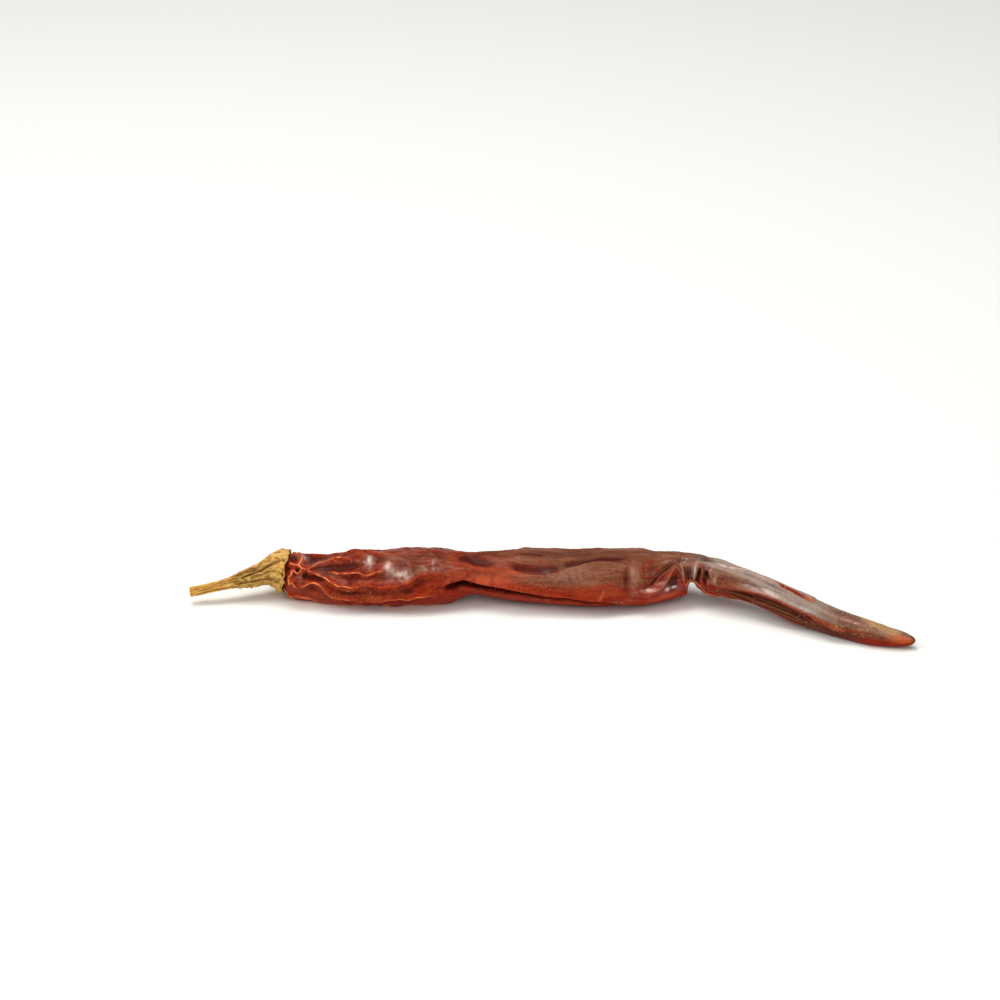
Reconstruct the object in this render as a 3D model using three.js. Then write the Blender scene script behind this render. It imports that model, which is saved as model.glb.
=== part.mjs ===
// A dried long red chilli pepper, lying on its side as it was picked: a shrunken, folded pod that is kinked
// two thirds of the way along, and a woody stalk that widens into the calyx over the pod's neck.
// Millimetres, +Z up. The pod runs along +X, its neck just inside the calyx, and its tail bends towards -Y.
import * as THREE from "three";

// Driving sizes. Distances along the pod start at the calyx rim.
const POD_LENGTH = 123.7;
const STALK_LENGTH = 19.0;
const LENGTH_MIDDLE = 52.3; // the middle of the pepper's length and of its width, where the origin goes
const WIDTH_MIDDLE = -7.1;
const SETTLE = 0.65; // how far the underside is pressed flat where it rests
const SAG = 0.3; // how far the skin has shrunk inside the stations between its folds
const POD_SIDES = 48;
const STALK_SIDES = 32;
const AXIS_SPREAD = 1.5; // the axis is averaged over this distance each way, so that the kink is a bend
const FOLD_TIP = 0.3; // radius of a fold's crest
const FOLD_REACH = 1.2; // the least that a fold reaches to either side
const NECK_START = -1.2; // where the pod closes, inside the calyx
const SURFACE = 0;

// Along, sideways and height of the pod's axis, then the section's half width, height above and depth below.
const POD_STATIONS = [
  [-1.2, 0.4, 6.5, 0.3, 0.3, 0.3],
  [-0.9, 0.4, 6.5, 1.8, 1.8, 1.8],
  [-0.4, 0.3, 6.5, 2.8, 2.8, 2.8],
  [0.0, 0.3, 6.4, 3.2, 3.2, 3.3],
  [0.5, 0.2, 6.3, 3.6, 3.6, 3.8],
  [1.2, 0.1, 6.2, 4.1, 4.0, 4.3],
  [2.2, 0.0, 5.9, 4.5, 4.2, 4.6],
  [5.0, -0.2, 5.2, 4.7, 3.8, 4.6],
  [7.6, -0.5, 4.9, 5.1, 4.1, 4.8],
  [10.8, -0.8, 5.0, 5.7, 4.8, 5.0],
  [15.0, -0.7, 5.2, 6.0, 5.5, 5.1],
  [17.8, -0.8, 5.2, 6.0, 5.2, 5.2],
  [22.8, -0.7, 5.3, 6.3, 5.6, 5.3],
  [27.4, -0.6, 5.4, 6.3, 5.6, 5.3],
  [30.8, -0.5, 5.4, 6.2, 5.4, 5.2],
  [34.0, -0.4, 5.6, 5.5, 5.3, 4.5],
  [37.4, -0.3, 5.9, 4.7, 4.7, 4.0],
  [40.8, -0.3, 5.8, 5.2, 4.8, 4.5],
  [46.6, -0.5, 5.6, 6.1, 5.4, 5.1],
  [52.2, -0.8, 5.4, 6.2, 5.2, 5.2],
  [57.2, -1.1, 5.4, 6.4, 5.1, 5.4],
  [62.2, -1.3, 5.5, 6.6, 5.4, 5.5],
  [66.8, -1.1, 5.5, 6.2, 5.4, 5.4],
  [70.8, -1.0, 5.5, 6.2, 5.4, 5.5],
  [74.0, -0.8, 5.7, 5.8, 5.2, 5.4],
  [76.8, -0.6, 6.1, 5.2, 4.9, 5.2],
  [79.2, -0.5, 6.5, 4.7, 4.3, 5.0],
  [79.9, -0.5, 6.7, 4.1, 4.1, 3.2],
  [80.7, -0.5, 6.9, 3.6, 4.0, 2.1],
  [81.6, -0.7, 7.0, 3.5, 3.8, 2.1],
  [82.6, -1.0, 7.0, 3.7, 3.6, 3.0],
  [83.7, -1.4, 6.9, 3.7, 3.3, 3.7],
  [84.6, -1.8, 6.8, 3.9, 3.4, 4.3],
  [85.8, -2.4, 6.7, 4.0, 3.6, 4.4],
  [87.9, -3.4, 6.5, 3.6, 3.5, 3.7],
  [91.4, -5.2, 6.3, 3.3, 3.2, 3.3],
  [94.0, -6.5, 6.0, 3.2, 3.0, 3.1],
  [97.5, -8.4, 5.3, 3.2, 3.1, 3.3],
  [101.4, -10.4, 4.4, 3.2, 3.2, 3.2],
  [103.7, -11.6, 4.0, 3.2, 3.2, 3.2],
  [107.6, -13.7, 3.4, 3.0, 3.0, 2.9],
  [110.8, -15.2, 3.0, 2.8, 2.9, 2.7],
  [114.9, -16.9, 2.7, 2.7, 2.7, 2.6],
  [118.1, -17.9, 2.4, 2.3, 2.3, 2.2],
  [120.9, -18.7, 2.3, 1.7, 1.7, 1.5],
  [122.8, -19.2, 2.3, 1.0, 1.0, 0.9],
  [POD_LENGTH, -19.4, 2.3, 0.4, 0.4, 0.3],
];

// A fold stands up along a path of points (along in mm, round in degrees from the top towards -Y). It has a
// height, a reach on the side nearer the top and on the far side, and a run over which each end dies away.
const fold = (height, above, below, starts, ends, path) => ({ height, above, below, starts, ends, path });
const POD_FOLDS = [
  // The shoulder: small cells round the neck, and the long creases that run out of them.
  fold(0.8, 0.8, 0.9, 1.0, 0.3, [[0.4, -60], [0.5, -33], [1.2, -10], [2.2, -6]]),
  fold(0.8, 0.8, 0.8, 0.2, 0.4, [[2.2, -6], [2.3, 17], [1.9, 35], [1.2, 38], [0.7, 28]]),
  fold(1.0, 2.4, 1.5, 0.2, 3, [
    [1.9, 35], [2.4, 42], [3.1, 42], [4.2, 38], [6.4, 22], [8.2, 12], [10, 4], [12.3, 7], [14.5, 16],
  ]),
  fold(0.7, 0.6, 0.6, 0.3, 0.2, [[1.1, 53], [1.5, 54], [2.1, 58], [2.6, 44], [3.1, 42]]),
  fold(0.7, 0.7, 0.7, 0.2, 0.2, [[1.1, 53], [1.1, 64], [0.8, 76], [1.1, 92]]),
  fold(0.95, 1.7, 1.5, 0.5, 6, [
    [3.9, 39], [5.5, 46], [7.4, 54], [9.2, 60], [10.6, 65], [11.2, 70], [12.3, 73], [13.6, 78], [15.2, 75],
    [17.2, 71], [20, 75], [22.5, 73], [25, 63], [28, 55], [32, 54],
  ]),
  fold(1.0, 1.6, 1.0, 0.3, 4, [
    [1, 93], [1.5, 81], [2.1, 85], [2.9, 89], [4.1, 82], [6, 71], [7.6, 75], [9.2, 87], [10.5, 95],
    [11.9, 99], [15, 104], [19.3, 104], [22, 99], [26, 96], [31, 93],
  ]),
  fold(0.6, 1.2, 1.4, 1.5, 2.5, [
    [9.1, 44], [10.4, 40], [11.3, 45], [13.2, 49], [16.8, 52], [18.3, 46], [20.5, 38],
  ]),
  fold(0.4, 1.4, 1.4, 3, 4, [
    [7.6, -36], [10.4, -14], [12.1, -30], [15, -34], [18, -24], [21, 4], [23.1, -2], [25.4, -9], [29, -10],
  ]),
  // The near flank: a long fold that hangs over the lower lobe, the rises round its hollows, and a bulge.
  fold(0.9, 3.2, 0.7, 2.5, 8, [
    [30.5, 76], [32.5, 72], [34.5, 70], [36.4, 73], [38.4, 79], [41, 83], [45, 84], [48, 88], [52, 93],
    [58, 97], [62.5, 102], [70.4, 119], [74, 128],
  ]),
  fold(0.3, 1.0, 2.4, 3, 3, [[27, 12], [30, 18], [33.2, 27], [36, 34], [38.5, 41], [41, 46], [43.6, 49]]),
  fold(0.3, 1.0, 2.6, 2, 5, [
    [43.2, 44], [46, 53], [49, 57], [52, 54], [55, 46], [58.5, 33], [62, 24], [67, 22],
  ]),
  fold(0.3, 1.8, 1.0, 2, 3, [[38, 2], [41, 12], [44, 22], [47, 30], [50, 33]]),
  fold(0.3, 1.6, 1.2, 2, 4, [[42, -8], [45, 6], [48, 14], [52, 18], [56, 12], [60, 2]]),
  fold(0.3, 1.7, 1.4, 2, 2, [[69.2, 8], [69.7, 25], [69.5, 43], [69.9, 72], [70, 98], [70.8, 110]]),
  // The kink: one deep pleat before the notch, and a fan of small ones after it.
  fold(0.9, 1.3, 1.6, 1.8, 0.1, [
    [70, 97], [71.4, 93], [72.8, 88], [74.4, 80], [75.7, 68], [77.2, 54], [78.4, 44],
  ]),
  fold(1.0, 0.8, 0.6, 0.1, 1, [[78.4, 44], [79.1, 53], [79.6, 68], [79.6, 88], [79.4, 110]]),
  fold(0.55, 1.4, 1.6, 0.8, 4, [
    [79.3, 48], [81.3, 40], [82.8, 29], [84.7, 22], [87.8, 27], [90.7, 29], [93.6, 22], [97, 8],
  ]),
  fold(0.6, 0.9, 0.5, 0.6, 0.6, [[81.9, 38], [82.1, 65], [82, 95]]),
  fold(0.75, 0.6, 0.5, 0.6, 0.8, [[82.9, 34], [84.1, 62], [85.4, 79], [86, 113]]),
  fold(0.7, 0.8, 0.9, 0.8, 1.0, [[84.2, 34], [85.7, 54], [87, 73], [88.3, 95]]),
  // The tail: an edge down its near side, a keel under it, a low crown and a fine edge beside that.
  fold(0.6, 1.6, 0.8, 1.5, 4, [
    [86.5, 92], [88.2, 81], [91.5, 76], [94.5, 64], [98.6, 58], [102.6, 61], [106.5, 70], [110.3, 88],
    [112.5, 103],
  ]),
  fold(0.5, 1.0, 1.0, 2, 3, [[88, 135], [90.7, 122], [93.6, 114], [96.6, 114], [101.3, 120], [104.5, 134]]),
  fold(0.35, 1.2, 1.2, 3, 2, [
    [84, 12], [90, 2], [96, 0], [98.5, 8], [101.5, 18], [104.5, 28], [110, 30], [113.7, 38], [116.1, 47],
    [119, 60], [121.8, 74],
  ]),
  fold(0.3, 0.9, 0.7, 2, 3, [[84.6, 0], [88.5, 13], [92.3, 19], [96.1, 26], [100, 34], [103.3, 38]]),
  // A lip of skin that has lifted along the top of the tail and ends squarely.
  fold(0.6, 3.6, 0.5, 1, 0.2, [[83.7, -16], [88, -12], [92, -8], [96, -4], [100, 0], [103.7, 3]]),
  // The far side and the underside.
  fold(1.0, 2.4, 1.8, 3, 6, [[2, -48], [8, -55], [16, -62], [26, -58], [36, -66], [46, -72]]),
  fold(1.1, 2.0, 2.4, 0.6, 6, [
    [1.2, -85], [6, -92], [13, -100], [22, -96], [30, -104], [40, -100], [52, -108], [64, -100],
  ]),
  fold(0.9, 1.8, 1.8, 0.8, 4, [[1.4, -125], [8, -132], [16, -128], [24, -138], [33, -134]]),
  fold(0.8, 1.8, 1.8, 1, 5, [[1.5, 150], [6, 162], [12, 155], [20, 150], [28, 156], [36, 148]]),
  fold(0.8, 2.2, 1.8, 4, 4, [[44, -60], [52, -50], [60, -56], [68, -48], [75, -52]]),
  fold(0.8, 2.0, 2.0, 4, 5, [[50, -140], [58, -132], [66, -140], [74, -130]]),
  fold(0.7, 1.2, 1.0, 0.3, 0.3, [[0.9, -60], [2.2, -66], [3, -85], [2, -104], [1, -112]]),
  fold(0.7, 1.2, 1.0, 0.3, 0.3, [[1, 118], [2.4, 132], [2.8, 155], [1.7, 172], [1, 190]]),
  fold(0.6, 1.4, 1.4, 3, 4, [[84, -75], [92, -85], [100, -95], [108, -90], [116, -80]]),
  fold(0.5, 1.4, 1.4, 3, 3, [[86, -150], [94, -160], [102, -150], [110, -160]]),
];

// A groove is a fold turned inwards: depth, reach, the two end runs and its path.
const groove = (depth, reach, starts, ends, path) => ({ depth, reach, starts, ends, path });
const POD_GROOVES = [
  groove(1.6, 1.1, 3, 6, [
    [31, 84], [34.5, 80], [38.4, 90], [41, 94], [45, 94], [48, 97], [52, 101], [58, 105], [62.5, 110],
    [68, 118],
  ]),
  groove(0.7, 0.6, 2, 3, [[11, 103], [14, 110], [19, 110], [23, 107]]),
  groove(0.5, 0.7, 1.5, 1.5, [[71.6, 80], [73.2, 68], [75.6, 48], [78.4, 28], [81.2, 14]]),
  groove(0.55, 1.0, 3, 3, [[89, 100], [92, 94], [95.5, 84], [99.2, 78], [102.7, 80], [106, 90]]),
  // Shallow hollows on the middle of the pod.
  groove(0.4, 2.1, 2.5, 3, [[34, 8], [37, 18], [39.5, 27], [42.5, 35]]),
  groove(0.42, 2.1, 3, 4, [[43.8, 30], [47.5, 42], [51, 45], [54.5, 38], [57, 28]]),
  groove(0.3, 1.3, 3, 4, [[54, 38], [58, 22], [62, 10], [66, 8], [70, 6]]),
  groove(0.25, 1.0, 1.5, 1.5, [[45.5, -4], [48.5, -7], [52, -4]]),
  groove(0.25, 0.9, 2, 2, [[58, 18], [61, 15], [65, 16], [68, 20]]),
];

// A dent is an oval hollow: along, round, depth, its reach back and forward along the pod, and across it.
const POD_DENTS = [
  [1.2, 8, 1.0, 1.0, 1.0, 2.2],
  [2.1, 49, 1.0, 0.55, 0.6, 0.6],
  [3.9, 54, 0.4, 1.0, 1.0, 0.9],
  [0.7, 52, 0.8, 0.5, 0.5, 0.6],
  [6.2, 60, 0.5, 3.0, 3.0, 1.2],
  [12.0, 30, 0.7, 4.5, 5.0, 1.6],
  [12.0, 92, 0.45, 4, 5, 1.0],
  [67.9, 62, 0.2, 1.8, 1.0, 4.2],
  [73.0, 45, 0.25, 1.4, 2.0, 3.6],
  [17.2, 8, -0.3, 1.2, 1.2, 2.0],
  [20.9, 31, -0.25, 0.9, 0.9, 1.8],
  [23.4, 52, -0.3, 1.8, 1.6, 1.3],
  [77.2, 82, 0.55, 3.2, 2.0, 3.0],
  [83.2, 74, 1.0, 0.7, 0.7, 2.6],
  [85.0, 66, 1.1, 0.7, 0.9, 2.6],
  [12.0, -78, 0.7, 6.0, 7.0, 2.4],
  [27.0, -82, 0.6, 6.0, 6.0, 2.2],
  [52.0, -84, 0.8, 8.0, 8.0, 2.6],
  [69.0, -78, 0.7, 6.0, 6.0, 2.4],
  [20.0, 176, 0.9, 6.0, 6.0, 2.6],
  [61.0, -172, 0.9, 7.0, 7.0, 2.6],
  [97.0, -60, 0.5, 7.0, 7.0, 1.6],
  [96.0, 178, 0.5, 8.0, 8.0, 1.8],
];

// The skin's points are closest together along this line, which follows the long edges of the near side.
const GRID_LINE = [
  [-2, 70], [12, 74], [15, 76], [20, 75], [26, 72], [30.5, 76], [34.5, 70], [38.4, 79], [41, 83], [45, 84],
  [48, 88], [52, 93], [58, 97], [62.5, 102], [67, 106], [76, 84], [84, 72], [91.5, 75], [94.5, 64],
  [98.6, 58], [102.6, 61], [106.5, 70], [110.3, 84], [117, 70], [POD_LENGTH, 60],
];
const GRID_CROWDING = 0.42;

// Along, sideways and height of the stalk's axis, then its radius and how deep its ribs are.
const STALK_STATIONS = [
  [-STALK_LENGTH, -3.0, 3.3, 1.0, 0.03],
  [-15.8, -2.7, 3.9, 0.97, 0.04],
  [-13.4, -2.3, 4.4, 1.0, 0.05],
  [-10.9, -1.8, 4.8, 1.15, 0.08],
  [-8.9, -1.4, 5.3, 1.6, 0.12],
  [-6.9, -1.0, 5.7, 2.0, 0.13],
  [-5.1, -0.6, 6.1, 2.15, 0.1],
  [-3.7, -0.2, 6.4, 2.7, 0.07],
  [-2.2, 0.2, 6.5, 3.75, 0.05],
  [-0.8, 0.4, 6.5, 4.25, 0.03],
  [0.5, 0.2, 6.3, 4.3, 0.03],
  [2.2, 0.0, 5.9, 4.3, 0.03],
];
const STALK_RIBS = 5;
const STALK_GROOVES = [
  groove(0.22, 0.4, 1, 2, [[-11, 20], [-8, 24], [-6, 28], [-4.7, 12], [-3, 8]]),
  groove(0.25, 0.45, 1, 1, [[-9, 52], [-6.7, 41], [-5.3, 40], [-4, 38], [-2, 32], [-0.3, 30]]),
  groove(0.2, 0.4, 1, 1, [[-10, 88], [-7, 84], [-4.5, 90], [-2, 84]]),
  groove(0.25, 0.45, 1, 1, [[-9, -60], [-6, -52], [-3, -58], [-0.5, -50]]),
  groove(0.22, 0.4, 1, 1, [[-10, 175], [-7, 168], [-4, 172], [-1, 165]]),
  groove(0.22, 0.4, 1, 1, [[-9, -120], [-5, -112], [-1, -118]]),
];
const CALYX_CUP = [
  // Along and radius of the cup's inside, from under its rim to its floor.
  [-0.1, 3.75],
  [-0.6, 3.25],
  [-1.2, 2.3],
  [-1.55, 1.0],
];
const CALYX_RIM_RADIUS = 4.4;
const CALYX_LIP_RADIUS = 4.02;
const CALYX_FLOOR = -1.65;

const radians = THREE.MathUtils.degToRad;
const ease = THREE.MathUtils.smoothstep;

// The value of one column of a table of stations at a distance along it, on a curve that never overshoots.
function along(table, s, column) {
  let i = 0;
  while (i < table.length - 2 && s > table[i + 1][0]) i += 1;
  const slope = (k) => (table[k + 1][column] - table[k][column]) / (table[k + 1][0] - table[k][0]);
  const tangent = (k) => {
    if (k === 0) return slope(0);
    if (k === table.length - 1) return slope(k - 1);
    const [before, after] = [slope(k - 1), slope(k)];
    if (before * after <= 0) return 0;
    const [gap, next] = [table[k][0] - table[k - 1][0], table[k + 1][0] - table[k][0]];
    const [w1, w2] = [2 * next + gap, next + 2 * gap];
    return (w1 + w2) / (w1 / before + w2 / after);
  };
  const step = table[i + 1][0] - table[i][0];
  const t = (s - table[i][0]) / step;
  const [from, to] = [table[i][column], table[i + 1][column]];
  const [leave, arrive] = [tangent(i) * step, tangent(i + 1) * step];
  const straight = (1 + 2 * t) * (1 - t) ** 2 * from + t * t * (3 - 2 * t) * to;
  return straight + t * (1 - t) ** 2 * leave + t * t * (t - 1) * arrive;
}

// A path made smooth: three short steps for each of its stretches.
function smoothed(path) {
  const points = path.map(([s, round]) => new THREE.Vector3(s, radians(round), 0));
  return new THREE.CatmullRomCurve3(points, false, "catmullrom", 0.5).getPoints((path.length - 1) * 3);
}

// How far a point of the surface is from a path, on which side, and how far along the path that is.
function beside(points, s, round, radius) {
  let best = { distance: Infinity, further: false, run: 0 };
  let total = 0;
  for (let i = 0; i + 1 < points.length; i += 1) {
    const [p, q] = [points[i], points[i + 1]];
    const turn = (p.y + q.y) / 2 - round;
    const middle = turn - 2 * Math.PI * Math.round(turn / (2 * Math.PI));
    const half = (q.y - p.y) / 2;
    const from = new THREE.Vector2(p.x - s, (middle - half) * radius);
    const step = new THREE.Vector2(q.x - p.x, 2 * half * radius);
    const share = THREE.MathUtils.clamp(-from.dot(step) / Math.max(step.lengthSq(), 1e-9), 0, 1);
    const near = from.clone().addScaledVector(step, share);
    const length = Math.hypot(q.x - p.x, 2 * half * 5);
    if (near.length() < best.distance) {
      const further = step.x * near.y - step.y * near.x < 0;
      best = { distance: near.length(), further, run: total + share * length };
    }
    total += length;
  }
  return { ...best, rest: total - best.run };
}

// What folds, grooves and dents add to the radius at one point of the surface.
function makeRelief(folds, grooves, dents) {
  const creases = folds.map((f) => ({ ...f, points: smoothed(f.path) }));
  const channels = grooves.map((g) => ({ ...g, points: smoothed(g.path) }));
  return (s, round, radius) => {
    let rise = 0;
    for (const f of creases) {
      const near = beside(f.points, s, round, radius);
      const off = Math.hypot(near.distance, FOLD_TIP) - FOLD_TIP;
      const flank = Math.max(0, 1 - off / Math.max(near.further ? f.below : f.above, FOLD_REACH)) ** 2;
      const fade = ease(near.run, -0.05, f.starts) * ease(near.rest, -0.05, f.ends);
      rise = Math.max(rise, f.height * flank * fade);
    }
    let sink = 0;
    for (const g of channels) {
      const near = beside(g.points, s, round, radius);
      const bowl = Math.max(0, 1 - (near.distance / g.reach) ** 2) ** 2;
      sink = Math.max(sink, g.depth * bowl * ease(near.run, 0, g.starts) * ease(near.rest, 0, g.ends));
    }
    for (const [at, angle, depth, back, forward, across] of dents) {
      const turn = radians(angle) - round;
      const side = ((turn - 2 * Math.PI * Math.round(turn / (2 * Math.PI))) * radius) / across;
      const length = s < at ? (s - at) / back : (s - at) / forward;
      sink += depth * Math.max(0, 1 - side * side - length * length) ** 2;
    }
    return rise - sink;
  };
}

// A slow drift that keeps every crease from being straight, weaker along the taut middle.
const freedom = (s) => 1 - 0.7 * ease(s, 36, 40) * (1 - ease(s, 74, 78));
const wave = (s) => 0.03 * freedom(s) * Math.sin(0.9 * s + 1.3);
const drift = (s, round) => [
  s + 0.3 * freedom(s) * Math.sin(1.1 * s + 2 * round + 0.4),
  round + wave(s) + 0.015 * freedom(s) * Math.sin(2.1 * s + 2 * round),
];

// The axis through the stations, averaged a little, and the two directions across it.
function makeAxis(table) {
  const start = table[0][0];
  const end = table[table.length - 1][0];
  const point = (s) => {
    const spread = [-1, 0, 0, 1].map((k) => THREE.MathUtils.clamp(s + k * AXIS_SPREAD, start, end));
    const at = (column) => spread.reduce((sum, x) => sum + along(table, x, column) / 4, 0);
    return new THREE.Vector3(s, at(1), at(2));
  };
  return (s) => {
    const tangent = point(s + 0.4).sub(point(s - 0.4)).normalize();
    const up = new THREE.Vector3(0, 0, 1).addScaledVector(tangent, -tangent.z).normalize();
    return { point: point(s), up, across: new THREE.Vector3().crossVectors(tangent, up) };
  };
}

// A closed skin over rings of points, with a single point at each end. Each four-cornered patch is split
// along the diagonal that stands out, so that a crest runs on unbroken where it crosses from row to row.
function skin(first, rings, last) {
  const sides = rings[0].length;
  const points = [first, ...rings.flat(), last];
  const at = (ring, side) => 1 + ring * sides + (side % sides);
  const standsOut = (a, b, c, d) => {
    const [ab, ac, ad] = [b, c, d].map((corner) => points[corner].clone().sub(points[a]));
    return ab.cross(ac).dot(ad) <= 0;
  };
  const index = [];
  for (let side = 0; side < sides; side += 1) {
    index.push(0, at(0, side + 1), at(0, side));
    for (let ring = 0; ring + 1 < rings.length; ring += 1) {
      const corners = [at(ring, side), at(ring, side + 1), at(ring + 1, side + 1), at(ring + 1, side)];
      const [a, b, c, d] = standsOut(...corners) ? corners : [...corners.slice(1), corners[0]];
      index.push(a, b, c, a, c, d);
    }
    index.push(points.length - 1, at(rings.length - 1, side), at(rings.length - 1, side + 1));
  }
  const geometry = new THREE.BufferGeometry();
  const flat = points.flatMap((p) => [p.x, p.y, p.z]);
  geometry.setAttribute("position", new THREE.Float32BufferAttribute(flat, 3));
  geometry.setIndex(index);
  geometry.computeVertexNormals();
  return geometry;
}

const around = (sides) => Array.from({ length: sides }, (_, k) => (k / sides) * 2 * Math.PI);
const spaced = (from, to, count) => Array.from({ length: count }, (_, k) => from + ((to - from) * k) / count);
function place({ point, up, across }, round, radius) {
  const raised = point.clone().addScaledVector(up, radius * Math.cos(round));
  return raised.addScaledVector(across, radius * Math.sin(round));
}
const onSurface = (p) => p.setZ(Math.max(p.z - SETTLE, SURFACE));

// The angles of the pod's points at a distance along it.
function roundPod(s) {
  const line = radians(along(GRID_LINE, s, 1)) - wave(s);
  return around(POD_SIDES).map((turn) => line + turn + GRID_CROWDING * Math.sin(turn));
}

// The pod: rings closer together at the neck and at the kink, where the folds are small.
function makePod() {
  const axis = makeAxis(POD_STATIONS);
  const relief = makeRelief(POD_FOLDS, POD_GROOVES, POD_DENTS);
  const radiusAt = (s, round) => {
    const [wide, above, below] = [3, 4, 5].map((column) => along(POD_STATIONS, s, column));
    const high = Math.cos(round) > 0 ? above : below;
    const base = 1 / Math.hypot(Math.sin(round) / wide, Math.cos(round) / high);
    const inside = ease(s, 0.2, 1.5) * (1 - ease(s, POD_LENGTH - 2.2, POD_LENGTH));
    const shrunk = SAG * ease(s, 0, 4) * (1 - ease(s, 118, POD_LENGTH));
    const added = inside * relief(...drift(s, round), (wide + above) / 2) - shrunk;
    return base + Math.max(added, -0.7 * base);
  };
  const lengths = [
    ...spaced(-1.05, 1.2, 5),
    ...spaced(1.2, 12, 14),
    ...spaced(12, 70, 40),
    ...spaced(70, 78.5, 12),
    ...spaced(78.5, 88, 20),
    ...spaced(88, 118, 22),
    ...spaced(118, POD_LENGTH, 6),
  ];
  const rings = lengths.map((s) => {
    const frame = axis(s);
    return roundPod(s).map((round) => onSurface(place(frame, round, radiusAt(s, round))));
  });
  return skin(onSurface(axis(NECK_START).point), rings, onSurface(axis(POD_LENGTH).point));
}

// The rim of the calyx: blunt teeth of uneven length.
const rimAt = (round) =>
  0.1 + 0.16 * Math.sin(5 * round + 0.6) + 0.1 * Math.sin(11 * round + 2) + 0.06 * Math.sin(17 * round);

// The stalk and its calyx: out along the woody skin to the ragged rim, then back inside the cup.
function makeStalk() {
  const axis = makeAxis(STALK_STATIONS);
  const relief = makeRelief([], STALK_GROOVES, []);
  const radiusAt = (s, round) => {
    const radius = along(STALK_STATIONS, s, 3);
    const rib = 1 + along(STALK_STATIONS, s, 4) * Math.cos(STALK_RIBS * round + 0.12 * s);
    return radius * rib + relief(s, round, radius);
  };
  const ring = (at) => around(STALK_SIDES).map((round) => onSurface(at(round)));
  const outside = [...spaced(-STALK_LENGTH, -11.5, 9), ...spaced(-11.5, -0.2, 22)];
  const end = axis(-STALK_LENGTH);
  const rings = [
    ring((round) => place(end, round, 0.55 * radiusAt(-STALK_LENGTH, round)).setX(end.point.x + 0.12)),
    ...outside.map((s) => ring((round) => place(axis(s), round, radiusAt(s, round)))),
    ring((round) => place(axis(rimAt(round)), round, CALYX_RIM_RADIUS)),
    ring((round) => place(axis(rimAt(round) - 0.1), round, CALYX_LIP_RADIUS)),
    ...CALYX_CUP.map(([s, radius]) => ring((round) => place(axis(s), round, radius))),
  ];
  return skin(onSurface(axis(-STALK_LENGTH + 0.15).point), rings, onSurface(axis(CALYX_FLOOR).point));
}

function mesh(name, geometry, color, roughness) {
  const made = new THREE.Mesh(geometry, new THREE.MeshStandardMaterial({ color, roughness, metalness: 0 }));
  made.name = name;
  return made;
}

const pepper = new THREE.Group();
pepper.add(mesh("pod", makePod(), 0x6e2218, 0.38), mesh("stalk_and_calyx", makeStalk(), 0xb08a4e, 0.8));
pepper.position.set(-LENGTH_MIDDLE, -WIDTH_MIDDLE, 0);

export default pepper;
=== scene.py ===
"""A dried long red chilli pepper, lying on its side, dressed round its frame.

The frame holds the pod and the stalk as coarse solids. This script makes both again from the same stations
and folds on a much finer grid, with the wrinkles of the skin and the fibres of the wood, and colours them.
Lengths in the tables are millimetres along the pod from the calyx rim, and angles are degrees round it from
the top towards the near side.
"""
import math
from collections import namedtuple

import bpy
import numpy as np
from mathutils import Matrix, Vector


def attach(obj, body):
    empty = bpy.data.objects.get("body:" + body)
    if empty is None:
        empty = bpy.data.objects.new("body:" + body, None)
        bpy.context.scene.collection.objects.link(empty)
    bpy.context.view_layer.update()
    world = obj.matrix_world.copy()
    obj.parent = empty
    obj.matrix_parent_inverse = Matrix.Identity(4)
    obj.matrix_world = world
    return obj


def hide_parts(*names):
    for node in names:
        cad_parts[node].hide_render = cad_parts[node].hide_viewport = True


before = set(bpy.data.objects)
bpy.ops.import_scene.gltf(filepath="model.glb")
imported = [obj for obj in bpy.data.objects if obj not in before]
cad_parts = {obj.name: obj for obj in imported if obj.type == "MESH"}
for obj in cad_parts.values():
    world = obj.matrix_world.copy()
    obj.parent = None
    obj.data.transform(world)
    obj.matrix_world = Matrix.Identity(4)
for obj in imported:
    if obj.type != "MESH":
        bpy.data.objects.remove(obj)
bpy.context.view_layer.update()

# Driving sizes, shared with the solids.
MM = 0.001
POD_LENGTH = 123.7
STALK_LENGTH = 19.0
NECK_START = -1.2
LENGTH_MIDDLE = 52.3
WIDTH_MIDDLE = -7.1
SETTLE = 0.65
SAG = 0.3
AXIS_SPREAD = 1.5
TANGENT_STEP = 0.4
PATH_RADIUS = 5

# The fine skins: their columns, which crowd on the pod towards its grid line, and the radius of a fold's tip,
# which the coarse solids make blunter. Then how broad a bleached crest and the warm skin beside it are.
POD_SIDES = 156
STALK_SIDES = 150
GRID_CROWDING = 0.42
FOLD_TIP = 0.14
CREST_WIDTH = 0.075
CREST_GLOW = 0.22
FIBRE_COUNT = 60

# Everything random starts from these.
SEED = 7
LATTICE_PRIMES = (374761393, 668265263, 2147483647)
LATTICE_MIX = 1274126177

# The camera stands in front, 30 degrees above the surface, and sees 0.2 mm to a pixel at the pod.
CAMERA_ELEVATION = 30.0
CAMERA_LENS = 100.0
CAMERA_SENSOR = 36.0
CAMERA_PLACE = (-9.5, -466.56, 295.64)
LIGHT_TARGET = (0, 0, 0.005)
WORLD_LIGHT = 0.24

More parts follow.
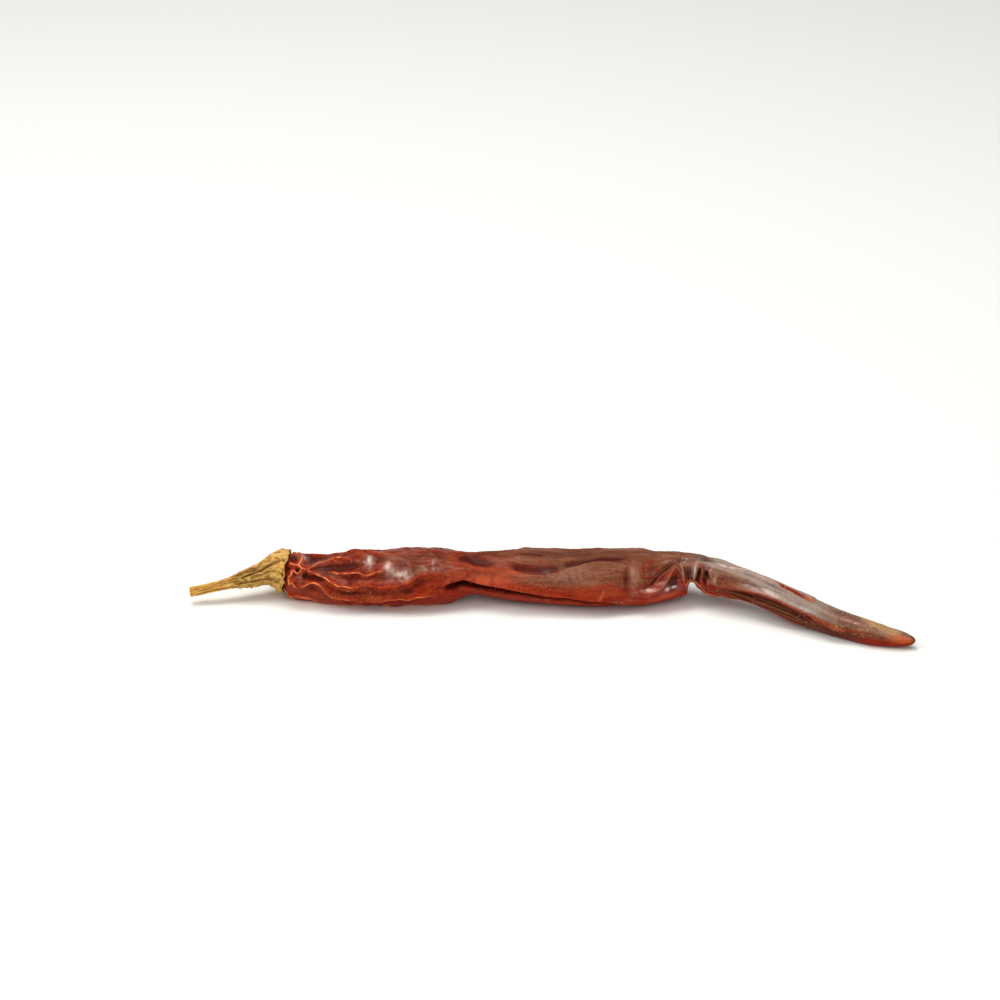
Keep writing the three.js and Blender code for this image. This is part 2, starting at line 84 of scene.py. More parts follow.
# Along, sideways and height of the pod's axis, then the section's half width, height above and depth below.
POD_STATIONS = np.array([
    [-1.2, 0.4, 6.5, 0.3, 0.3, 0.3],
    [-0.9, 0.4, 6.5, 1.8, 1.8, 1.8],
    [-0.4, 0.3, 6.5, 2.8, 2.8, 2.8],
    [0.0, 0.3, 6.4, 3.2, 3.2, 3.3],
    [0.5, 0.2, 6.3, 3.6, 3.6, 3.8],
    [1.2, 0.1, 6.2, 4.1, 4.0, 4.3],
    [2.2, 0.0, 5.9, 4.5, 4.2, 4.6],
    [5.0, -0.2, 5.2, 4.7, 3.8, 4.6],
    [7.6, -0.5, 4.9, 5.1, 4.1, 4.8],
    [10.8, -0.8, 5.0, 5.7, 4.8, 5.0],
    [15.0, -0.7, 5.2, 6.0, 5.5, 5.1],
    [17.8, -0.8, 5.2, 6.0, 5.2, 5.2],
    [22.8, -0.7, 5.3, 6.3, 5.6, 5.3],
    [27.4, -0.6, 5.4, 6.3, 5.6, 5.3],
    [30.8, -0.5, 5.4, 6.2, 5.4, 5.2],
    [34.0, -0.4, 5.6, 5.5, 5.3, 4.5],
    [37.4, -0.3, 5.9, 4.7, 4.7, 4.0],
    [40.8, -0.3, 5.8, 5.2, 4.8, 4.5],
    [46.6, -0.5, 5.6, 6.1, 5.4, 5.1],
    [52.2, -0.8, 5.4, 6.2, 5.2, 5.2],
    [57.2, -1.1, 5.4, 6.4, 5.1, 5.4],
    [62.2, -1.3, 5.5, 6.6, 5.4, 5.5],
    [66.8, -1.1, 5.5, 6.2, 5.4, 5.4],
    [70.8, -1.0, 5.5, 6.2, 5.4, 5.5],
    [74.0, -0.8, 5.7, 5.8, 5.2, 5.4],
    [76.8, -0.6, 6.1, 5.2, 4.9, 5.2],
    [79.2, -0.5, 6.5, 4.7, 4.3, 5.0],
    [79.9, -0.5, 6.7, 4.1, 4.1, 3.2],
    [80.7, -0.5, 6.9, 3.6, 4.0, 2.1],
    [81.6, -0.7, 7.0, 3.5, 3.8, 2.1],
    [82.6, -1.0, 7.0, 3.7, 3.6, 3.0],
    [83.7, -1.4, 6.9, 3.7, 3.3, 3.7],
    [84.6, -1.8, 6.8, 3.9, 3.4, 4.3],
    [85.8, -2.4, 6.7, 4.0, 3.6, 4.4],
    [87.9, -3.4, 6.5, 3.6, 3.5, 3.7],
    [91.4, -5.2, 6.3, 3.3, 3.2, 3.3],
    [94.0, -6.5, 6.0, 3.2, 3.0, 3.1],
    [97.5, -8.4, 5.3, 3.2, 3.1, 3.3],
    [101.4, -10.4, 4.4, 3.2, 3.2, 3.2],
    [103.7, -11.6, 4.0, 3.2, 3.2, 3.2],
    [107.6, -13.7, 3.4, 3.0, 3.0, 2.9],
    [110.8, -15.2, 3.0, 2.8, 2.9, 2.7],
    [114.9, -16.9, 2.7, 2.7, 2.7, 2.6],
    [118.1, -17.9, 2.4, 2.3, 2.3, 2.2],
    [120.9, -18.7, 2.3, 1.7, 1.7, 1.5],
    [122.8, -19.2, 2.3, 1.0, 1.0, 0.9],
    [POD_LENGTH, -19.4, 2.3, 0.4, 0.4, 0.3],
])

# A fold stands up along a path. It has a height, a reach on the side nearer the top and on the far side, a
# run over which each end dies away, and how much its crest is bleached to orange.
Fold = namedtuple("Fold", "height above below starts ends bleach path")
SHOULDER_FOLDS = [
    Fold(0.8, 0.8, 0.9, 1.0, 0.3, 1, [(0.4, -60), (0.5, -33), (1.2, -10), (2.2, -6)]),
    Fold(0.8, 0.8, 0.8, 0.2, 0.4, 1, [(2.2, -6), (2.3, 17), (1.9, 35), (1.2, 38), (0.7, 28)]),
    Fold(1.0, 2.4, 1.5, 0.2, 3, 1, [(1.9, 35), (2.4, 42), (3.1, 42), (4.2, 38), (6.4, 22), (8.2, 12),
        (10, 4), (12.3, 7), (14.5, 16)]),
    Fold(0.7, 0.6, 0.6, 0.3, 0.2, 1, [(1.1, 53), (1.5, 54), (2.1, 58), (2.6, 44), (3.1, 42)]),
    Fold(0.7, 0.7, 0.7, 0.2, 0.2, 1, [(1.1, 53), (1.1, 64), (0.8, 76), (1.1, 92)]),
    Fold(0.95, 1.7, 1.5, 0.5, 6, 1, [(3.9, 39), (5.5, 46), (7.4, 54), (9.2, 60), (10.6, 65), (11.2, 70),
        (12.3, 73), (13.6, 78), (15.2, 75), (17.2, 71), (20, 75), (22.5, 73), (25, 63), (28, 55),
        (32, 54)]),
    Fold(1.0, 1.6, 1.0, 0.3, 4, 1, [(1, 93), (1.5, 81), (2.1, 85), (2.9, 89), (4.1, 82), (6, 71), (7.6, 75),
        (9.2, 87), (10.5, 95), (11.9, 99), (15, 104), (19.3, 104), (22, 99), (26, 96), (31, 93)]),
    Fold(0.6, 1.2, 1.4, 1.5, 2.5, 0.9, [(9.1, 44), (10.4, 40), (11.3, 45), (13.2, 49), (16.8, 52),
        (18.3, 46), (20.5, 38)]),
    Fold(0.4, 1.4, 1.4, 3, 4, 0.6, [(7.6, -36), (10.4, -14), (12.1, -30), (15, -34), (18, -24), (21, 4),
        (23.1, -2), (25.4, -9), (29, -10)]),
]
FLANK_FOLDS = [
    Fold(0.9, 3.2, 0.7, 2.5, 8, 1, [(30.5, 76), (32.5, 72), (34.5, 70), (36.4, 73), (38.4, 79), (41, 83),
        (45, 84), (48, 88), (52, 93), (58, 97), (62.5, 102), (70.4, 119), (74, 128)]),
    Fold(0.3, 1.0, 2.4, 3, 3, 0.12, [(27, 12), (30, 18), (33.2, 27), (36, 34), (38.5, 41), (41, 46),
        (43.6, 49)]),
    Fold(0.3, 1.0, 2.6, 2, 5, 0.12, [(43.2, 44), (46, 53), (49, 57), (52, 54), (55, 46), (58.5, 33),
        (62, 24), (67, 22)]),
    Fold(0.3, 1.8, 1.0, 2, 3, 0, [(38, 2), (41, 12), (44, 22), (47, 30), (50, 33)]),
    Fold(0.3, 1.6, 1.2, 2, 4, 0, [(42, -8), (45, 6), (48, 14), (52, 18), (56, 12), (60, 2)]),
    Fold(0.3, 1.7, 1.4, 2, 2, 0, [(69.2, 8), (69.7, 25), (69.5, 43), (69.9, 72), (70.0, 98), (70.8, 110)]),
    Fold(0.06, 0.2, 0.2, 0.3, 0.3, 0.6, [(63.2, 82), (62.7, 96), (62, 110)]),
]
KINK_FOLDS = [
    Fold(0.9, 1.3, 1.6, 1.8, 0.1, 0.35, [(70, 97), (71.4, 93), (72.8, 88), (74.4, 80), (75.7, 68),
        (77.2, 54), (78.4, 44)]),
    Fold(1.0, 0.8, 0.6, 0.1, 1, 0.35, [(78.4, 44), (79.1, 53), (79.6, 68), (79.6, 88), (79.4, 110)]),
    Fold(0.55, 1.4, 1.6, 0.8, 4, 0.3, [(79.3, 48), (81.3, 40), (82.8, 29), (84.7, 22), (87.8, 27),
        (90.7, 29), (93.6, 22), (97, 8)]),
    Fold(0.6, 0.9, 0.5, 0.6, 0.6, 0.15, [(81.9, 38), (82.1, 65), (82, 95)]),
    Fold(0.75, 0.6, 0.5, 0.6, 0.8, 0.2, [(82.9, 34), (84.1, 62), (85.4, 79), (86, 113)]),
    Fold(0.7, 0.8, 0.9, 0.8, 1.0, 0.1, [(84.2, 34), (85.7, 54), (87, 73), (88.3, 95)]),
]
TAIL_FOLDS = [
    Fold(0.6, 1.6, 0.8, 1.5, 4, 0.3, [(86.5, 92), (88.2, 81), (91.5, 76), (94.5, 64), (98.6, 58),
        (102.6, 61), (106.5, 70), (110.3, 88), (112.5, 103)]),
    Fold(0.5, 1.0, 1.0, 2, 3, 0.8, [(88, 135), (90.7, 122), (93.6, 114), (96.6, 114), (101.3, 120),
        (104.5, 134)]),
    Fold(0.35, 1.2, 1.2, 3, 2, 0.3, [(84, 12), (90, 2), (96, 0), (98.5, 8), (101.5, 18), (104.5, 28),
        (110, 30), (113.7, 38), (116.1, 47), (119, 60), (121.8, 74)]),
    Fold(0.3, 0.9, 0.7, 2, 3, 0.1, [(84.6, 0), (88.5, 13), (92.3, 19), (96.1, 26), (100, 34), (103.3, 38)]),
]
FAR_FOLDS = [
    Fold(1.0, 2.4, 1.8, 3, 6, 0.8, [(2, -48), (8, -55), (16, -62), (26, -58), (36, -66), (46, -72)]),
    Fold(1.1, 2.0, 2.4, 0.6, 6, 1, [(1.2, -85), (6, -92), (13, -100), (22, -96), (30, -104), (40, -100),
        (52, -108), (64, -100)]),
    Fold(0.9, 1.8, 1.8, 0.8, 4, 1, [(1.4, -125), (8, -132), (16, -128), (24, -138), (33, -134)]),
    Fold(0.8, 1.8, 1.8, 1, 5, 0.9, [(1.5, 150), (6, 162), (12, 155), (20, 150), (28, 156), (36, 148)]),
    Fold(0.8, 2.2, 1.8, 4, 4, 0.5, [(44, -60), (52, -50), (60, -56), (68, -48), (75, -52)]),
    Fold(0.8, 2.0, 2.0, 4, 5, 0.7, [(50, -140), (58, -132), (66, -140), (74, -130)]),
    Fold(0.7, 1.2, 1.0, 0.3, 0.3, 1, [(0.9, -60), (2.2, -66), (3, -85), (2, -104), (1, -112)]),
    Fold(0.7, 1.2, 1.0, 0.3, 0.3, 1, [(1, 118), (2.4, 132), (2.8, 155), (1.7, 172), (1, 190)]),
    Fold(0.6, 1.4, 1.4, 3, 4, 0.7, [(84, -75), (92, -85), (100, -95), (108, -90), (116, -80)]),
    Fold(0.5, 1.4, 1.4, 3, 3, 0.6, [(86, -150), (94, -160), (102, -150), (110, -160)]),
]
# Folds of no height: painted highlight lines, where the skin seems to catch the light without standing up.
HIGHLIGHT_LINES = [
    Fold(0, 1, 1, 1.5, 0.6, 1.0, [(70.8, 97), (72.9, 88), (74.9, 76), (76.3, 62), (77.6, 50)]),
    Fold(0, 1, 1, 0.3, 0.6, 0.9, [(78.7, 47), (79.3, 58), (79.7, 72), (79.8, 84)]),
    Fold(0, 1, 1, 0.6, 2.0, 0.7, [(79.4, 45), (81.3, 37), (82.8, 26), (84.7, 19), (87.8, 24), (90.7, 26),
        (93, 22)]),
    Fold(0, 1, 1, 0.6, 0.8, 0.8, [(84.0, 38), (85.2, 52), (86.4, 66), (87.4, 80)]),
    Fold(0, 1, 1, 3, 3, 0.6, [(84.5, -22), (88, -18), (92, -14), (96, -11), (100, -8)]),
    Fold(0, 1, 1, 3, 3, 0.5, [(86, -6), (90, -1), (94, 2), (98, 6), (102, 10)]),
    Fold(0, 1, 1, 3, 3, 0.5, [(89, 12), (93, 16), (97, 20), (101, 24), (106, 30), (110, 34)]),
    Fold(0, 1, 1, 2, 2, 0.5, [(29, 22), (31, 30), (33, 38), (35, 44), (38, 48)]),
    Fold(0, 1, 1, 0.3, 0.3, 0.9, [(63.2, 80), (62.7, 92), (62.2, 101)]),
    Fold(0, 1, 1, 2, 3, 0.4, [(56, 34), (59, 26), (62, 20), (66, 18)]),
]
POD_FOLDS = SHOULDER_FOLDS + FLANK_FOLDS + KINK_FOLDS + TAIL_FOLDS + FAR_FOLDS

Groove = namedtuple("Groove", "depth reach starts ends path")
POD_GROOVES = [
    Groove(1.6, 1.1, 3, 6, [(31, 84), (34.5, 80), (38.4, 90), (41, 94), (45, 94), (48, 97), (52, 101),
        (58, 105), (62.5, 110), (68, 118)]),
    Groove(0.7, 0.6, 2, 3, [(11, 103), (14, 110), (19, 110), (23, 107)]),
    Groove(0.34, 0.42, 1.5, 1.5, [(71.6, 80), (73.2, 68), (75.6, 48), (78.4, 28), (81.2, 14)]),
    Groove(0.28, 0.3, 1.0, 1.0, [(73.2, 60), (75.4, 42), (78.2, 22), (80.4, 11)]),
    Groove(0.28, 0.3, 1.0, 1.0, [(73.6, 76), (75.8, 56), (78.0, 37), (80.2, 26)]),
    Groove(0.55, 1.0, 3, 3, [(89, 100), (92, 94), (95.5, 84), (99.2, 78), (102.7, 80), (106, 90)]),
    Groove(0.16, 0.3, 1, 1, [(70.6, 16), (71.5, 24), (71.1, 38), (71.4, 52), (71.1, 64), (71.5, 78),
        (71.4, 90), (72.2, 102)]),
]
# Shallow wet-looking hollows on the middle of the pod, whose own dark red is deepened with painted shade.
MIDDLE_HOLLOWS = [
    Groove(0.4, 2.1, 2.5, 3, [(34, 8), (37, 18), (39.5, 27), (42.5, 35)]),
    Groove(0.42, 2.1, 3, 4, [(43.8, 30), (47.5, 42), (51, 45), (54.5, 38), (57, 28)]),
    Groove(0.3, 1.3, 3, 4, [(54, 38), (58, 22), (62, 10), (66, 8), (70, 6)]),
    Groove(0.25, 1.0, 1.5, 1.5, [(45.5, -4), (48.5, -7), (52, -4)]),
    Groove(0.25, 0.9, 2, 2, [(58, 18), (61, 15), (65, 16), (68, 20)]),
]

# A dent is an oval hollow: along, round, depth, its reach back and forward along the pod, and across it.
Dent = namedtuple("Dent", "along around depth back forward across")
POD_DENTS = [
    Dent(1.2, 8, 1.0, 1.0, 1.0, 2.2),
    Dent(2.1, 49, 1.0, 0.55, 0.6, 0.6),
    Dent(3.9, 54, 0.4, 1.0, 1.0, 0.9),
    Dent(0.7, 52, 0.8, 0.5, 0.5, 0.6),
    Dent(6.2, 60, 0.5, 3.0, 3.0, 1.2),
    Dent(12.0, 30, 0.7, 4.5, 5.0, 1.6),
    Dent(12.0, 92, 0.45, 4, 5, 1.0),
    Dent(67.9, 62, 0.2, 1.8, 1.0, 4.2),
    Dent(73.0, 45, 0.25, 1.4, 2.0, 3.6),
    Dent(17.2, 8, -0.3, 1.2, 1.2, 2.0),
    Dent(20.9, 31, -0.25, 0.9, 0.9, 1.8),
    Dent(23.4, 52, -0.3, 1.8, 1.6, 1.3),
    Dent(77.2, 82, 0.55, 3.2, 2.0, 3.0),
    Dent(75.4, 98, -0.35, 1.1, 1.1, 1.0),
    Dent(83.2, 74, 1.0, 0.7, 0.7, 2.6),
    Dent(85.0, 66, 1.1, 0.7, 0.9, 2.6),
    Dent(12.0, -78, 0.7, 6.0, 7.0, 2.4),
    Dent(27.0, -82, 0.6, 6.0, 6.0, 2.2),
    Dent(52.0, -84, 0.8, 8.0, 8.0, 2.6),
    Dent(69.0, -78, 0.7, 6.0, 6.0, 2.4),
    Dent(20.0, 176, 0.9, 6.0, 6.0, 2.6),
    Dent(61.0, -172, 0.9, 7.0, 7.0, 2.6),
    Dent(97.0, -60, 0.5, 7.0, 7.0, 1.6),
    Dent(96.0, 178, 0.5, 8.0, 8.0, 1.8),
]

# A spot is a soft patch of another finish: along, round, its half length and half breadth, and how strong.
# The patches: painted highlights with some pale dust, painted shade, painted glints, orange, painted glow,
# painted light.
Spot = namedtuple("Spot", "along around long across strength")
# Painted highlights, and some pale dust on the middle.
HIGHLIGHT_AND_DUST_SPOTS = [
    Spot(17.0, 12, 1.0, 1.9, 1.0), Spot(20.7, 34, 0.9, 1.7, 0.9), Spot(23.4, 53, 1.7, 0.9, 1.0),
    Spot(2.7, 12, 0.35, 1.6, 0.5), Spot(7.2, 38, 1.5, 0.5, 0.15), Spot(3.0, 68, 0.5, 0.9, 0.4),
    Spot(29.0, 40, 2.0, 0.7, 0.3), Spot(52.0, 101, 4.0, 0.35, 0.6), Spot(69.2, 62, 0.8, 3.0, 0.42),
    Spot(72.0, 84, 1.5, 0.35, 1.0), Spot(74.4, 74, 0.9, 0.3, 0.8), Spot(79.9, 30, 1.2, 0.8, 0.5),
    Spot(82.2, 60, 0.6, 1.7, 1.3), Spot(85.2, 46, 0.4, 0.9, 0.8), Spot(86.6, 67, 0.4, 0.9, 0.8),
    Spot(4.6, 4, 3.2, 1.3, 0.4), Spot(56.6, 52, 5.0, 1.5, 0.25), Spot(63.0, 104, 4.0, 0.3, 0.3),
    Spot(88.0, 12, 4.0, 0.4, 0.7), Spot(97.0, 44, 5.0, 0.7, 0.5), Spot(112.5, 32, 2.5, 0.3, 0.6),
    Spot(93.0, 6, 6.0, 0.25, 0.6),
]
# Painted shade in the cells at the neck, under a crest, beside the bulge and in the pockets of the kink.
SHADE_SPOTS = [
    Spot(1.0, 8, 0.6, 1.5, 0.5), Spot(2.1, 49, 0.4, 0.5, 1.0), Spot(0.6, 52, 0.4, 0.5, 1.0),
    Spot(9.5, 25, 3.0, 0.5, 0.5), Spot(67.5, 60, 0.5, 3.0, 0.4), Spot(71.2, 58, 0.25, 2.6, 0.3),
    Spot(69.0, 28, 1.2, 0.8, 0.4), Spot(83.2, 96, 0.4, 1.2, 1.0), Spot(85.0, 78, 0.4, 1.5, 1.0),
    Spot(77.0, 66, 0.9, 0.9, 0.3),
]
GLINT_SPOTS = [
    Spot(75.6, 92, 0.4, 0.3, 1.0), Spot(77.0, 94, 0.5, 0.24, 1.0), Spot(72.1, 83.5, 1.0, 0.14, 0.3),
    Spot(79.6, 62, 0.12, 1.3, 0.6), Spot(82.3, 55, 0.3, 1.0, 0.5), Spot(16.9, 10, 0.4, 1.2, 0.5),
    Spot(23.2, 53, 0.9, 0.3, 0.5), Spot(20.6, 36, 0.3, 1.0, 0.35), Spot(29.5, 28, 0.2, 0.6, 0.3),
]
ORANGE_SPOTS = [
    Spot(18.2, 98, 1.0, 0.6, 1.0), Spot(5.8, 100, 1.2, 0.5, 0.6), Spot(15.6, -14, 1.6, 0.6, 0.6),
    Spot(9.4, 6, 1.0, 0.5, 0.6), Spot(9.0, 72, 1.4, 0.5, 0.5), Spot(12.5, 76, 1.5, 0.4, 0.5),
]
# Spots of painted red glow.
RED_GLOW_SPOTS = [
    Spot(22.8, -6, 4.5, 2.2, 1.0), Spot(12.0, -6, 3.5, 1.2, 0.6), Spot(28.6, 24, 2.5, 1.6, 0.8),
    Spot(24.0, 108, 6.0, 1.4, 0.6), Spot(47.0, 38, 4.0, 1.0, 0.4),
]
# Painted light: rose-coloured lit patches on facets and crests.
ROSY_LIGHT_SPOTS = [
    Spot(38.6, 72, 3.2, 0.7, 1.2), Spot(74.3, 112, 3.0, 1.0, 1.2), Spot(55.0, 110, 6.0, 0.8, 1.0),
    Spot(12.8, 86, 2.4, 0.8, 0.8), Spot(64.0, 78, 5.0, 1.2, 0.4), Spot(5.0, 4, 3.5, 1.4, 0.7),
    Spot(5.0, 108, 5.0, 1.0, 0.5), Spot(71.8, 34, 1.2, 0.7, 0.6), Spot(46.0, 51, 2.6, 0.4, 0.8),
    Spot(41.0, 62, 8.0, 2.4, 0.7), Spot(65.0, 90, 6.0, 0.8, 0.4), Spot(50.0, 92, 7.0, 0.6, 0.5),
    Spot(14.0, -18, 6.0, 1.2, 0.4),
]

# The lip of skin that has lifted along the top of the tail: its edge, and where it starts, opens and ends.
FLAP_LINE = ((83.5, 88, 92, 96, 100, 104), (-16, -12, -8, -4, 0, 3))
FLAP_START = 83.7
FLAP_OPENS = 98.5
FLAP_END = 103.7
FLAP_HEIGHT = 0.6

# The red edge between the hazy top of the tail and its dark underside.
TAIL_EDGE_LINE = ((86, 88, 91.5, 94.5, 98.6, 102.6, 106.5, 110, 114, 116, 119, 122),
                  (90, 84, 77, 66, 60, 63, 70, 80, 62, 50, 62, 76))

# The lower edge of the notch behind the kink.
NOTCH_LINE = ((79.6, 81.9, 84, 85.1, 86.4, 89), (90, 95, 107, 127, 135, 140))

# Grains of dried pith: a few everywhere, and more on patches. A patch has a strength, then where it starts
# and ends and its soft edge, along the pod and then round it.
FLECKS_EVERYWHERE = 0.03
FLECK_PATCHES = [
    (0.5, (10, 17, 2), (76, 100, 6)),
    (0.4, (33, 46, 3), (80, 96, 6)),
    (1, (103, 105.5, 1), (82, 98, 8)),
    (1, (111, 114.5, 1), (92, 122, 10)),
    (0.5, (105, 121, 3), (-10, 70, 10)),
]

# The rows of the skin's grid: from where, and how far apart.
POD_ROWS = ((-1.1, 0.12), (1.0, 0.17), (16, 0.21), (70, 0.17), (90, 0.23), (POD_LENGTH - 0.02, 0))

# The grid of the skin is closest along this line, which follows the long edges that face the camera.
GRID_LINE = np.array([
    [-2, 70], [12, 74], [15, 76], [20, 75], [26, 72], [30.5, 76], [34.5, 70], [38.4, 79], [41, 83], [45, 84],
    [48, 88], [52, 93], [58, 97], [62.5, 102], [67, 106], [76, 84], [84, 72], [91.5, 75], [94.5, 64],
    [98.6, 58], [102.6, 61], [106.5, 70], [110.3, 84], [117, 70], [POD_LENGTH, 60],
])

# Along, sideways and height of the stalk's axis, then its radius and how deep its ribs are.
STALK_STATIONS = np.array([
    [-STALK_LENGTH, -3.0, 3.3, 1.0, 0.03],
    [-15.8, -2.7, 3.9, 0.97, 0.04],
    [-13.4, -2.3, 4.4, 1.0, 0.05],
    [-10.9, -1.8, 4.8, 1.15, 0.08],
    [-8.9, -1.4, 5.3, 1.6, 0.12],
    [-6.9, -1.0, 5.7, 2.0, 0.13],
    [-5.1, -0.6, 6.1, 2.15, 0.1],
    [-3.7, -0.2, 6.4, 2.7, 0.07],
    [-2.2, 0.2, 6.5, 3.75, 0.05],
    [-0.8, 0.4, 6.5, 4.25, 0.03],
    [0.5, 0.2, 6.3, 4.3, 0.03],
    [2.2, 0.0, 5.9, 4.3, 0.03],
])
STALK_RIBS = 5
STALK_GROOVES = [
    Groove(0.22, 0.4, 1, 2, [(-11, 20), (-8, 24), (-6, 28), (-4.7, 12), (-3, 8)]),
    Groove(0.25, 0.45, 1, 1, [(-9, 52), (-6.7, 41), (-5.3, 40), (-4, 38), (-2, 32), (-0.3, 30)]),
    Groove(0.2, 0.4, 1, 1, [(-10, 88), (-7, 84), (-4.5, 90), (-2, 84)]),
    Groove(0.25, 0.45, 1, 1, [(-9, -60), (-6, -52), (-3, -58), (-0.5, -50)]),
    Groove(0.22, 0.4, 1, 1, [(-10, 175), (-7, 168), (-4, 172), (-1, 165)]),
    Groove(0.22, 0.4, 1, 1, [(-9, -120), (-5, -112), (-1, -118)]),
    Groove(0.2, 0.3, 1, 1, [(-9.5, 20), (-8.9, 21), (-7, 17), (-5.8, 19), (-4, 24)]),
    Groove(0.22, 0.25, 0.3, 0.3, [(-8.5, 48), (-8.2, 62), (-7.9, 80)]),
    Groove(0.18, 0.3, 1, 1, [(-6.5, 62), (-5, 66), (-3.5, 58), (-1.8, 62)]),
    Groove(0.18, 0.3, 1, 1, [(-4.5, 104), (-3, 96), (-1.5, 106)]),
    Groove(0.15, 0.3, 1, 1, [(-7, 118), (-5.5, 108), (-4.2, 122), (-2.6, 126)]),
    Groove(0.12, 0.25, 1, 1, [(-17.5, 70), (-14, 62), (-11, 58), (-9, 66)]),
    Groove(0.12, 0.25, 1, 1, [(-18.5, 30), (-15, 38), (-12, 30), (-10, 36)]),
    Groove(0.12, 0.25, 1, 1, [(-18, 110), (-14, 104), (-11, 110)]),
]
STALK_DENTS = [
    Dent(-0.4, 71, 0.5, 0.35, 0.35, 0.4),
    Dent(-0.9, -20, -0.3, 0.3, 0.3, 0.35),
]

# The cut end of the stalk is domed over these shares of its radius.
STALK_END = (0.25, 0.55, 0.8, 0.95, 1.0)

# Rings from the calyx's rim down into its cup: the place, the radius, and how ragged a ring of the rim is.
CALYX_RIM_RADIUS = 4.4
CALYX_LIP_RADIUS = 4.02
CALYX_RIM = [(-0.15, 4.36, 0.1), (0, CALYX_RIM_RADIUS, 0.12), (0, 4.2, 0.12), (-0.1, CALYX_LIP_RADIUS, 0.1)]
CALYX_CUP = [(-0.1, 3.75), (-0.6, 3.25), (-1.2, 2.3), (-1.55, 1.0)]
CALYX_WOODY_RINGS = 3
CALYX_FLOOR = -1.65


def ease(x, low, high):
    """0 below low, 1 above high, and a smooth rise between."""
    t = np.clip((x - low) / (high - low), 0, 1)
    return t * t * (3 - 2 * t)


def band(x, low, high, soft):
    """1 between low and high, falling to 0 over soft beyond each."""
    return ease(x, low - soft, low) * (1 - ease(x, high, high + soft))


def limited(x):
    """A value kept from 0 to 1."""
    return np.clip(x, 0, 1)


def along(table, s, column):
    """A column of a table of stations at distances s, on a curve that never overshoots."""
    x, y = table[:, 0], table[:, column]
    gap = np.diff(x)
    slope = np.diff(y) / gap
    before, after = slope[:-1], slope[1:]
    w1, w2 = 2 * gap[1:] + gap[:-1], gap[1:] + 2 * gap[:-1]
    same = before * after > 0
    inner = np.zeros_like(before)
    inner[same] = (w1 + w2)[same] / (w1[same] / before[same] + w2[same] / after[same])
    tangent = np.concatenate([slope[:1], inner, slope[-1:]])
    i = np.clip(np.searchsorted(x, s) - 1, 0, len(x) - 2)
    t = (s - x[i]) / gap[i]
    rise = (1 + 2 * t) * (1 - t) ** 2 * y[i] + t * t * (3 - 2 * t) * y[i + 1]
    return rise + gap[i] * (t * (1 - t) ** 2 * tangent[i] + t * t * (t - 1) * tangent[i + 1])


def axis_point(table, s):
    """The axis through the stations, averaged a little so that the kink is a bend."""
    def at(column):
        shifts = (-AXIS_SPREAD, 0, 0, AXIS_SPREAD)
        return sum(along(table, np.clip(s + k, table[0, 0], table[-1, 0]), column) for k in shifts) / 4
    return np.stack([s, at(1), at(2)], -1)


def surface_point(table, s, round_, radius):
    """A point at a radius from the axis, settled on the surface and moved to the frame's origin."""
    tangent = axis_point(table, s + TANGENT_STEP) - axis_point(table, s - TANGENT_STEP)
    tangent /= np.linalg.norm(tangent, axis=-1, keepdims=True)
    up = np.array([0, 0, 1.0]) - tangent * tangent[..., 2:]
    up /= np.linalg.norm(up, axis=-1, keepdims=True)
    across = np.cross(tangent, up)
    outward = np.cos(round_)[..., None] * up + np.sin(round_)[..., None] * across
    p = axis_point(table, s) + radius[..., None] * outward
    p[..., 2] = np.maximum(p[..., 2] - SETTLE, 0)
    return p - np.array([LENGTH_MIDDLE, WIDTH_MIDDLE, 0])


def axis_place(table, s):
    """The one point of the axis at a distance, where a skin closes."""
    return surface_point(table, np.array(s), np.array(0.0), np.array(0.0))


def smoothed(path, steps=4):
    """A path of points as a Catmull-Rom curve, in millimetres and radians."""
    p = np.array(path, float) * (1, math.pi / 180)
    p = np.vstack([2 * p[0] - p[1], p, 2 * p[-1] - p[-2]])
    out = []
    for a, b, c, d in zip(p, p[1:], p[2:], p[3:]):
        for t in np.arange(steps) / steps:
            out.append(0.5 * (2 * b + (c - a) * t + (2 * a - 5 * b + 4 * c - d) * t**2
                              + (3 * b - a - 3 * c + d) * t**3))
    return np.array(out + [p[-2]])


def wrapped(angle):
    """An angle turned to lie within half a turn of zero."""
    return np.remainder(angle + math.pi, 2 * math.pi) - math.pi


def beside(path, s, round_, radius):
    """How far each point is from a path, on which side, and how far along the path from either end."""
    points = smoothed(path)
    best = np.full(s.shape, np.inf)
    further = np.zeros(s.shape, bool)
    run = np.zeros(s.shape)
    total = 0.0
    for (s1, r1), (s2, r2) in zip(points, points[1:]):
        middle = wrapped((r1 + r2) / 2 - round_)
        half = (r2 - r1) / 2
        fx, fy = s1 - s, (middle - half) * radius
        dx, dy = s2 - s1, 2 * half * radius
        share = np.clip(-(fx * dx + fy * dy) / np.maximum(dx * dx + dy * dy, 1e-9), 0, 1)
        nx, ny = fx + share * dx, fy + share * dy
        distance = np.hypot(nx, ny)
        length = math.hypot(s2 - s1, 2 * half * PATH_RADIUS)
        near = distance < best
        best = np.where(near, distance, best)
        further = np.where(near, dx * ny - dy * nx < 0, further)
        run = np.where(near, total + share * length, run)
        total += length
    return best, further, run, total - run


def rows_near(s, path, reach):
    """The slice of the grid's rows that a path can touch."""
    first, last = min(p[0] for p in path) - reach, max(p[0] for p in path) + reach
    return slice(*np.searchsorted(s[:, 0], [first, last]))


